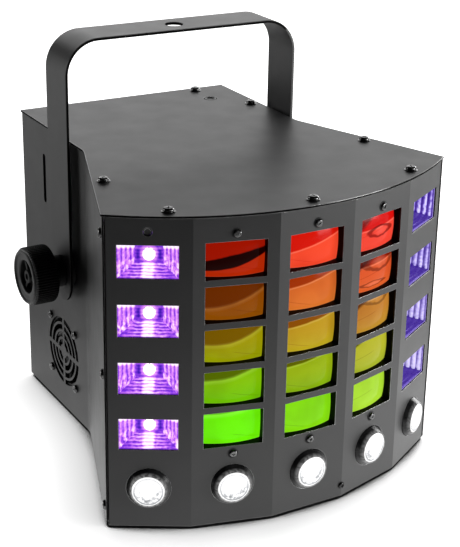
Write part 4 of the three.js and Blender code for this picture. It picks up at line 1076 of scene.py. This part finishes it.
def lens_mesh(width, height):
    """A crowned front with a soft edge, straight sides and a flat back, and a UV map across its front."""
    def ticks(size):
        low = [-size / 2 + LENS_RIM * share for share in LENS_RIM_SHARES]
        inner = [low[-1] + (size - 2 * LENS_RIM) * i / LENS_STEPS for i in range(1, LENS_STEPS)]
        return low + inner + [-x for x in reversed(low)]

    def crown(x, y):
        drop = (x * x + y * y) / (2 * LENS_CROWN)
        for near in (width / 2 - abs(x), height / 2 - abs(y)):
            if near < LENS_RIM:
                share = 1 - near / LENS_RIM
                drop += LENS_RIM * (1 - math.sqrt(max(0.0, 1 - share * share)))
        return -drop

    bm = bmesh.new()
    grid = relief(bm, ticks(width), ticks(height), crown)
    back = [[bm.verts.new((*row[end].co.xy, -LENS_DEPTH)) for end in (0, -1)] for row in (grid[0], grid[-1])]
    bm.faces.new([back[0][0], back[0][1]] + grid[0][::-1])
    bm.faces.new([back[1][1], back[1][0]] + grid[-1])
    bm.faces.new([back[1][0], back[0][0]] + [row[0] for row in grid])
    bm.faces.new([back[0][1], back[1][1]] + [row[-1] for row in reversed(grid)])
    bm.faces.new([back[0][0], back[1][0], back[1][1], back[0][1]])
    return face_map(bm, "lens", width, height)


def lens_material(name, color, column, row):
    """Tinted plastic lit from inside: a shaded part above a slanted edge, and a bright part below it."""
    upper_hue, lower_hue, fall, upper_value, lower_value, left_share = LENS_TONES[color]
    dim = left_share if column == 0 else 1.0
    pale = LENS_PALENESS[column][row]

    def light(hue, saturation, value):
        return light_tone(max(0, hue - fall * column), saturation, min(1, value * dim))

    upper = light(upper_hue, 1 - pale / 4, upper_value)
    lower = light(lower_hue, 1 - pale, lower_value)
    deep = light(lower_hue + LENS_DEEPENING[row], 1 - pale, lower_value)
    rim = light(lower_hue, 0.75 - pale, lower_value * 1.15)
    shade = Shade(name, scaled(lower, 0.3), 0.12, shine=0.04)
    x, y = shade.face_place("lens")
    across, down = (x + 1) / 2, (1 - y) / 2

    def curve(start, slope, bow=0.0):
        return down - across * slope - across * across * bow - start

    below = curve(*LENS_EDGES[column][row]) + shade.wobble(70, 2, 0.05)
    lit = shade.mix(shade.rise(down, 0.4, 1.0), lower, deep)
    tone = shade.mix(shade.rise(below, -0.015, 0.015), upper, lit)

    def lay(share, color):
        nonlocal tone
        tone = shade.mix(share, tone, color)

    if row > 0 or column > 0:
        edge_glow = shade.peak(below - 0.03, 0.09 if column == 0 else 0.03)
        lay(edge_glow * 0.5, rim)
    for ring_row, ring_x, ring_y, half_x, half_y, contrast in LENS_RINGS:
        if column == 2 and ring_row == row:
            wavy = shade.wobble(190, 1, 0.4)
            sideways = abs((across - ring_x) / half_x) ** 1.3
            far = sideways + abs((down - ring_y + wavy * 0.2) / half_y) ** 2 + wavy
            lay(shade.peak(far, 0.6) * 0.3, rim)
            lay(shade.clamped(shade.peak(far - 1, 0.42) * 2) * contrast, scaled(upper, 0.15))
    if column == 2 and row < 4:
        shadow_height = SHADOW_HEIGHT - SHADOW_FALL * row
        shadow = shade.clamped((1.0 - across / SHADOW_WIDTH - down / shadow_height) * 5)
        lay(shadow * 0.85, scaled(upper, 0.1))
    # A thin moulding line crosses the lower part, and the edges catch light
    start, slope, seam_middle = LENS_SEAMS[column]
    ends = shade.clamped(shade.peak(across - seam_middle, 0.28) * 3)
    lay(shade.peak(curve(start, slope), 0.012) * ends * 0.6, upper)
    lay(shade.clamped(shade.peak(x + 1, 0.03) + shade.peak(y + 1, 0.06)) * 0.5, rim)
    lay(shade.span(shade.noise(45, 2), 0.0, 0.3, 0.45, 0.75), upper)
    if column == 0 and row == 0:
        band = shade.rise(curve(*LENS_BAND) + shade.wobble(150, 2, 0.06), -0.02, 0.02)
        lay(band * (1 - shade.rise(below, -0.02, 0.01)), scaled(upper, 0.03))
    shade.color(shade.mix(0.75, tone, grey(0.0)))
    shade.glow(tone, 0.95)
    return shade.finished(shade.noise(90, 2), 0.08, 0.16, shade.noise(120, 1), 0.03, 0.25)


def derby_lenses():
    for column, side in enumerate(("left", "middle", "right")):
        for row, color in enumerate(LENS_COLORS):
            z, height = DERBY_WINDOWS[row]
            name = f"lens_{side}_{color}"
            lens = moved(lens_mesh(DERBY_WIDTH, height), shifted(FACET_PLACES[column + 1], 0, z, -LENS_APEX))
            piece(name, lens, lens_material(name, color, column, row),
                  replaced=f"derby_lens_{side}_{color}")


# Ultraviolet cups

CUP_DEPTH = 12 * MM
CUP_FRONT = SHEET + GAP
CUP_BACK = 1.5 * MM
CUP_WALL = 1.5 * MM
CUP_FACE = 0.6 * MM
CUP_FLOOR_SHARES = (0.46, 0.52)
CUP_FLUTES = 4
CUP_FLUTE_HEIGHT = 0.9 * MM
CUP_RIDGES = 5
CUP_RIDGE_HEIGHT = 0.6 * MM
CUP_WAVE_STEPS = 6
LED_RADIUS = 3.6 * MM
LED_FOOT = 0.8 * MM
LED_CROWN = 3.2 * MM
LED_SINK = 0.2 * MM

# Colours of the mirrored light from dark to bright: the left cups face the camera, the right ones look away
CUP_GLOW = {
    "left": [(0.0, (0.04, 0.006, 0.38)), (0.25, (0.19, 0.03, 0.66)), (0.5, (0.62, 0.19, 0.86)),
             (0.75, (0.92, 0.56, 0.97)), (1.0, (1.0, 0.9, 1.0))],
    "right": [(0.0, (0.035, 0.01, 0.24)), (0.2, (0.065, 0.03, 0.27)), (0.5, (0.13, 0.075, 0.48)),
              (0.75, (0.47, 0.38, 0.87)), (1.0, (0.7, 0.64, 0.98))],
}
CUP_PALE = (0.6, 0.55, 0.82)


def cup_surface():
    """The inner surface of one cup: fluted side walls, ridged upper and lower walls and a flat floor."""
    half_w, half_h = UV_WIDTH / 2, UV_HEIGHT / 2
    floor_w, floor_h = half_w * CUP_FLOOR_SHARES[0], half_h * CUP_FLOOR_SHARES[1]

    def ticks(half, floor, waves):
        steps = waves * CUP_WAVE_STEPS
        wall = [-half + (half - floor) * i / steps for i in range(steps + 1)]
        return wall + [floor * share for share in (-0.6, -0.2, 0.2, 0.6)] + [-x for x in reversed(wall)]

    def height(x, y):
        into_x = (half_w - abs(x)) / (half_w - floor_w)
        into_y = (half_h - abs(y)) / (half_h - floor_h)
        if min(into_x, into_y) >= 1.0:
            return -CUP_DEPTH
        if into_x < into_y:
            return CUP_FLUTE_HEIGHT * abs(math.sin(math.pi * CUP_FLUTES * into_x)) - CUP_DEPTH * into_x
        return CUP_RIDGE_HEIGHT * abs(math.sin(math.pi * CUP_RIDGES * into_y)) - CUP_DEPTH * into_y

    bm = bmesh.new()
    relief(bm, ticks(half_w, floor_w, CUP_FLUTES), ticks(half_h, floor_h, CUP_RIDGES), height)
    return face_map(bm, "cup", UV_WIDTH, UV_HEIGHT)


def left_cup_levels(shade, x, y, into_x, into_y):
    """How bright the side walls, the other walls and the floor are, and the speckle on all of them."""
    low = shade.clamped((0.15 - y) * 2)
    wobble = shade.wobble(240, 2, low * 1.6 + 0.25)
    flute = shade.ripple((into_x * CUP_FLUTES + wobble) * math.pi)
    ridge = shade.ripple((into_y * CUP_RIDGES + shade.wobble(200, 1, 0.7)) * math.pi)
    top = shade.rise(y + into_x * 0.44, 0.74, 0.92)
    patches = shade.rise(shade.noise(330, 2), 0.42, 0.68)
    walls = flute ** 1.6 * 0.32 + top * 0.75 + patches * (0.15 + low * 0.34) + 0.22
    beam = shade.clamped((0.24 - abs(x + 0.02)) * 9)
    middle = shade.clamped((0.75 - abs(x)) * 3)
    lower = ridge ** 2 * 0.4 * (0.35 + middle * 0.65) + beam * (0.35 + ridge * 0.3) + patches * 0.2 + 0.17
    halo = shade.clamped(1 - (x * x * 8 + y * y * 2.4) ** 0.5)
    box = shade.peak(abs(x) - 0.36, 0.1) * shade.clamped(shade.peak(y + 0.05, 0.35) * 3)
    ground = 0.2 + halo * 0.9 - box * 0.3 + shade.ripple(y * 14) * 0.14
    return walls, lower, ground, shade.wobble(620, 3, 0.9)


def right_cup_levels(shade, y, into_x, into_y):
    flute = shade.ripple((into_x * CUP_FLUTES + y * 0.15) * math.pi)
    speckle = shade.wobble(520, 3, 0.5)
    dots = shade.span(shade.noise(420, 1), 0.75, 1.1, 0.35, 0.6)
    walls = flute ** 1.5 * 0.95 * shade.rise(into_x, 0.05, 0.16) * dots + speckle * 0.7
    # Painted shadows darken the valleys at the feet of the flutes
    walls = walls - shade.peak(into_y - into_x, 0.35) * (1 - flute) * 1.2
    lower = 0.1 + speckle * 0.3 - shade.peak(into_y, 0.15) * 0.12
    return walls, lower, 0.16 + speckle * 0.2, speckle


def reflector_material(side):
    """Mirrored cup walls: bright crests on the flutes, bands below the LED, dark violet around it."""
    shade = Shade(f"metallised_reflector_{side}", (0.16, 0.09, 0.36), 0.25, 1.0)
    x, y = shade.face_place("cup")
    into_x = (1 - abs(x)) / (1 - CUP_FLOOR_SHARES[0])
    into_y = (1 - abs(y)) / (1 - CUP_FLOOR_SHARES[1])
    on_side = shade.math("GREATER_THAN", into_y, into_x)
    on_floor = shade.math("GREATER_THAN", shade.math("MINIMUM", into_x, into_y), 1.0)
    if side == "left":
        walls, lower, ground, speckle = left_cup_levels(shade, x, y, into_x, into_y)
    else:
        walls, lower, ground, speckle = right_cup_levels(shade, y, into_x, into_y)
    level = on_side * walls + (1 - on_side) * lower
    level = (1 - on_floor) * level + on_floor * ground + speckle * 0.35
    if side == "left":
        tint = shade.ramp(level, CUP_GLOW[side])
    else:
        # The lip catches light, and the side walls are paler the lower their cup sits
        tint = shade.ramp(level + shade.peak(x + 1, 0.07) * 0.7, CUP_GLOW[side])
        height = shade.node("ShaderNodeSeparateXYZ", {0: shade.point}).outputs["Z"]
        lowness = shade.span(height, 1.0, 0.0, UV_BOTTOM, UV_BOTTOM + 3 * UV_PITCH)
        paleness = on_side * (1 - on_floor) * lowness * shade.clamped(walls * 1.6 + 0.15)
        tint = shade.mix(paleness * 0.8, tint, CUP_PALE)
    shade.glow(tint, 1.0)
    shade.color(shade.mix(0.85, tint, (0.02, 0.01, 0.06)))
    return shade.finished(shade.noise(400, 2), 0.18, 0.36, shade.noise(700, 1), 0.1, 0.4)


def led_material():
    shade = Shade("ultraviolet_led", (1, 0.9, 1), 0.2)
    glow = shade.cloud(300, 1, (1.0, 0.9, 1.0), (1.0, 0.97, 1.0))
    shade.color(glow)
    shade.glow(glow, 1.6)
    return shade.material


def crowned(profile, radius, height, crown, steps):
    """Closes a profile with a round crown."""
    turns = (math.pi / 2 * i / steps for i in range(1, steps))
    top = [(radius * math.cos(t), height + crown * math.sin(t)) for t in turns]
    return [*profile, *top, (0, height + crown)]


def uv_cups():
    led = led_material()
    dome = crowned([(0, 0), (LED_RADIUS, 0), (LED_RADIUS, LED_FOOT)], LED_RADIUS, LED_FOOT, LED_CROWN, 8)
    for name, place in (("left", FACET_PLACES[0]), ("right", FACET_PLACES[-1])):
        cups = [moved(cup_surface(), shifted(place, 0, z, -CUP_FRONT)) for z in UV_CENTRES]
        low, high = (corner.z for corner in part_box(f"uv_reflector_{name}"))
        centre = (low + high) / 2
        outline = rectangle(0, 0, UV_WIDTH + 2 * CUP_WALL, high - low)
        holes = [rectangle(0, z - centre, UV_WIDTH, UV_HEIGHT) for z in UV_CENTRES]
        face = moved(plate(outline, holes, CUP_FACE, 0), shifted(place, 0, centre, -CUP_FRONT))
        back_depth = -CUP_FRONT - CUP_DEPTH - CUP_BACK / 2
        back = moved(plate(outline, [], CUP_BACK / 2, 0), shifted(place, 0, centre, back_depth))
        piece(f"uv_cups_{name}", joined([*cups, face, back]), reflector_material(name),
              replaced=f"uv_reflector_{name}")
        places = [shifted(place, 0, z, -CUP_FRONT - CUP_DEPTH - LED_SINK) for z in UV_CENTRES]
        piece(f"uv_leds_{name}", copies(turned(dome, 32), places), led)


# Strobe lamps

STROBE_RADIUS = 9.6 * MM
GASKET_WIDTH = 1 * MM
GASKET_LOW = -3.2 * MM
GASKET_HIGH = -1.5 * MM

# The crown of a strobe lens: the radius and the height of its foot, and its rise
STROBE_CROWN = (8.2 * MM, 4.35 * MM, 0.6 * MM)

# How strongly a painted reflection greys each collar's foot like the panel, from the left
COLLAR_PAINTED_REFLECTION = (0.055, 0.085, 0.11, 0.1, 0.0)


def strobe_material():
    """A lit lens: white in the middle, with faint facets low down and a darker line inside its rim."""
    shade = Shade("strobe_lens", (0.9, 0.9, 0.92), 0.2)
    x, y = shade.face_place("disc")
    far = (x * x + y * y) ** 0.5
    facets = shade.rise(shade.noise(420, 2), 0.45, 0.65)
    low = shade.span(y, 1.0, 0.0, -0.6, 0.4)
    marks = facets * shade.peak(far - 0.66, 0.34) * (low * 0.75 + 0.2)
    line = shade.peak(far - 0.88, 0.06) * (low * 0.6 + 0.3)
    level = 1 - marks - line + shade.wobble(500, 2, 0.1)
    glow = shade.ramp(level, [(0.2, (0.3, 0.31, 0.32)), (0.6, (0.55, 0.56, 0.58)), (0.95, (1, 1, 1))])
    shade.color(shade.mix(0.8, glow, (0, 0, 0)))
    shade.glow(glow, 1.0)
    return shade.finished(shade.noise(200, 2), 0.15, 0.3, level, 0.15, 0.3)


def collar_material(index):
    """Clear plastic around the lamp: black above, greyed below like the panel by a painted reflection, and
    lit near its front edge with painted glints.
    """
    shade = Shade(f"strobe_collar_{index + 1}", (0.01, 0.01, 0.01), 0.2, shine=0.2)
    x, y = shade.face_place("disc")
    far = (x * x + y * y) ** 0.5
    around = shade.math("ARCTAN2", y, x)
    # Painted glints streak the light near the front edge; a painted reflection greys the lower part
    streaks = shade.ripple(around * 9 + shade.noise(300, 2) * 9)
    ring = shade.span(far, 0.26, 0.0, 1.03, 1.22) * (0.2 + streaks * 0.8)
    painted_reflection = shade.clamped(0.35 - (y * 0.85 - x * 0.5) / far * 1.2)
    shade.glow(shade.ramp(ring + painted_reflection * COLLAR_PAINTED_REFLECTION[index], [(0.0, (0, 0, 0)), (1.0, (1, 1, 1))]), 1.0)
    shade.color(shade.cloud(90, 3, (0.006, 0.006, 0.006), (0.02, 0.02, 0.021)))
    return shade.finished(shade.noise(120), 0.2, 0.36, shade.noise(260, 2), 0.4, 0.6)


def strobes():
    lit = strobe_material()
    collar_profile = mm_points((8.8, -9), (12.9, -3), (12.9, 0.2), (12.6, 0.6), (10.5, 4.2), (10.2, 4.5),
                               (9.9, 4.5), (9.8, -3), (8.2, -9), (8.8, -9))
    dome_profile = mm_points((0, -9), (8, -9), (9.6, -3), (9.6, 4.1), (9.45, 4.4), (9.1, 4.55), (8.6, 4.3),
                             (8.4, 4.35))
    dome_profile = crowned(dome_profile, *STROBE_CROWN, 6)
    diameter = 2 * STROBE_RADIUS
    for i, facet in enumerate(FACET_PLACES):
        place = shifted(facet, 0, STROBE_HEIGHT)
        number = i + 1
        collar = face_map(turned(collar_profile), "disc", diameter, diameter)
        gasket = tube(STROBE_HOLE, STROBE_HOLE + GASKET_WIDTH, GASKET_LOW, GASKET_HIGH)
        dome = face_map(turned(dome_profile), "disc", diameter, diameter)
        piece(f"strobe_collar_{number}", moved(collar, place), collar_material(i))
        piece(f"strobe_gasket_{number}", moved(gasket, place), RUBBER)
        piece(f"strobe_dome_{number}", moved(dome, place), lit,
              replaced=f"strobe_lens_{number}")


# Camera, lights and ground

CAMERA_PLACE = Vector((-427.9, -765.2, 469.3)) * MM
CAMERA_AZIMUTH = math.radians(-31.34)
CAMERA_ELEVATION = math.radians(21.19)
CAMERA_ROLL = math.radians(1.50)
CAMERA_SHIFT = (-0.0556, -0.0456)
SENSOR_WIDTH = 36
CAMERA_REACH = 50
IMAGE_HEIGHT = 547
FOCAL_PIXELS = 1435.45

# Softboxes: name, place, what it looks at, width, height, power
SOFTBOXES = [
    ("back", (0.55, 1.2, 0.75), (0, 0, 0.2), 1.9, 0.8, 8.8),
    ("right_back", (1.2, 0.35, 0.45), (0, 0, 0.1), 0.5, 0.8, 12),
    ("front_right", (1.05, -1.0, 0.21), (0, 0, 0.12), 0.7, 0.36, 14.5),
    ("front", (0.1, -1.5, 0.9), (0, 0, 0.1), 0.8, 0.8, 0.9),
    ("edge", (0.74, -1.35, 0.66), (0, -0.13, 0.2), 0.25, 0.1, 1.8),
    ("left_back", (-1.2, 0.9, 0.35), (0, 0, 0.12), 0.6, 0.7, 6.8),
]
SKY = 0.02

# How white the camera sees the floor, by how open it lies there
FLOOR_FILL = [(0.45, 0.0), (0.52, 0.5), (0.62, 0.62), (0.87, 0.83), (1.0, 1.0)]
FLOOR_SHADE_REACH = 40 * MM
FLOOR_SIZE = 12.0
TABLE_MIDDLE = (0.07, -0.12, 0)
TABLE_REACH = (0.14, 0.41)


def camera():
    data = bpy.data.cameras.new("camera")
    data.sensor_width = SENSOR_WIDTH
    data.lens = SENSOR_WIDTH * FOCAL_PIXELS / IMAGE_HEIGHT
    data.shift_x, data.shift_y = CAMERA_SHIFT
    data.clip_end = CAMERA_REACH
    obj = added("camera", data)
    tilt = Matrix.Rotation(math.pi / 2 - CAMERA_ELEVATION, 4, "X") @ Matrix.Rotation(CAMERA_ROLL, 4, "Z")
    obj.matrix_world = shifted(Matrix(), *CAMERA_PLACE, CAMERA_AZIMUTH) @ tilt
    bpy.context.scene.camera = obj


def lights():
    for name, place, target, width, height, power in SOFTBOXES:
        data = bpy.data.lights.new(name, "AREA")
        data.shape = "RECTANGLE"
        data.size, data.size_y, data.energy = width, height, power
        obj = added(name, data)
        obj.location = place
        aim = Vector(target) - Vector(place)
        obj.rotation_euler = aim.to_track_quat("-Z", "Y").to_euler()


def world():
    """White where the camera sees it, and nearly dark as a light."""
    studio = bpy.data.worlds.new("studio")
    studio.use_nodes = True
    bpy.context.scene.world = studio
    nodes = Nodes(studio.node_tree)
    sky = nodes.tree.nodes["Background"]
    nodes.feed(sky, {"Color": (1, 1, 1), "Strength": SKY})
    seen = nodes.node("ShaderNodeBackground", {"Color": (1, 1, 1), "Strength": 1.0})
    rays = nodes.node("ShaderNodeLightPath").outputs
    either = nodes.math("MAXIMUM", rays["Is Camera Ray"], rays["Is Transmission Ray"])
    mixed = nodes.node("ShaderNodeMixShader", {0: either, 1: sky.outputs[0], 2: seen.outputs[0]})
    nodes.feed(nodes.tree.nodes["World Output"], {"Surface": mixed.outputs[0]})


def floor():
    bm = bmesh.new()
    bm.faces.new([bm.verts.new((x, y, 0)) for x, y in rectangle(0, 0, FLOOR_SIZE, FLOOR_SIZE)])
    shade = Shade("floor", grey(0.9), 0.7)
    # The camera sees it nearly white, but for the shade beside the part and the dark below it
    occlusion = shade.node("ShaderNodeAmbientOcclusion", {"Distance": FLOOR_SHADE_REACH}, samples=16)
    open_share = Term(shade, occlusion.outputs["AO"])
    fill = Term(shade, shade.ramp(open_share, [(share, grey(white)) for share, white in FLOOR_FILL]))
    pale = shade.cloud(3, 2, grey(0.89), grey(0.91))
    shade.color(shade.mix(shade.rise(open_share, 0.46, 0.56), grey(0.0), pale))
    # Polished pieces mirror it near the part only, as on a table in a darker room
    distance = shade.node("ShaderNodeVectorMath", {0: shade.point, 1: TABLE_MIDDLE}, operation="DISTANCE")
    table = shade.span(distance.outputs["Value"], 1.34, 0.0, *TABLE_REACH)
    rays = shade.node("ShaderNodeLightPath").outputs
    seen = fill * rays["Is Camera Ray"] + table * rays["Is Glossy Ray"]
    shade.glow((1, 1, 1), seen)
    link("floor", mesh_of(bm, "floor"), shade.material, smooth=False)


# CAD nodes that stay: their finish, by the beginning of their names

KEPT = {
    STEEL: ("base_plate", "rear_panel"),
    FRAME_BLACK_SHADE: ("lens_frame_",),
    PLASTIC: ("fan_", "button_", "power_inlet", "fuse_drawer"),
    DISPLAY: ("display_window",),
    RUBBER: ("foot_",),
    ALUMINIUM: ("heat_sink", "gobo_wheel"),
    NICKEL: ("gobo_motor", "dmx_"),
    BOARD: ("uv_led_board_", "strobe_led_strip", "derby_led_disc", "power_supply", "control_board"),
}


def finish_kept_nodes():
    for name, node in frame["nodes"].items():
        for material, beginnings in KEPT.items():
            if name.startswith(beginnings):
                for material_slot in node.material_slots:
                    material_slot.material = material


camera()
world()
lights()
floor()
finish_kept_nodes()
front_panel()
side_panel("left_side_panel", -1)
side_panel("right_side_panel", 1)
top_cover()
cover_plug()
bracket()
knobs_and_washers()
screws()
derby_lenses()
uv_cups()
strobes()
microphone()

bpy.context.scene.view_settings.view_transform = "Standard"
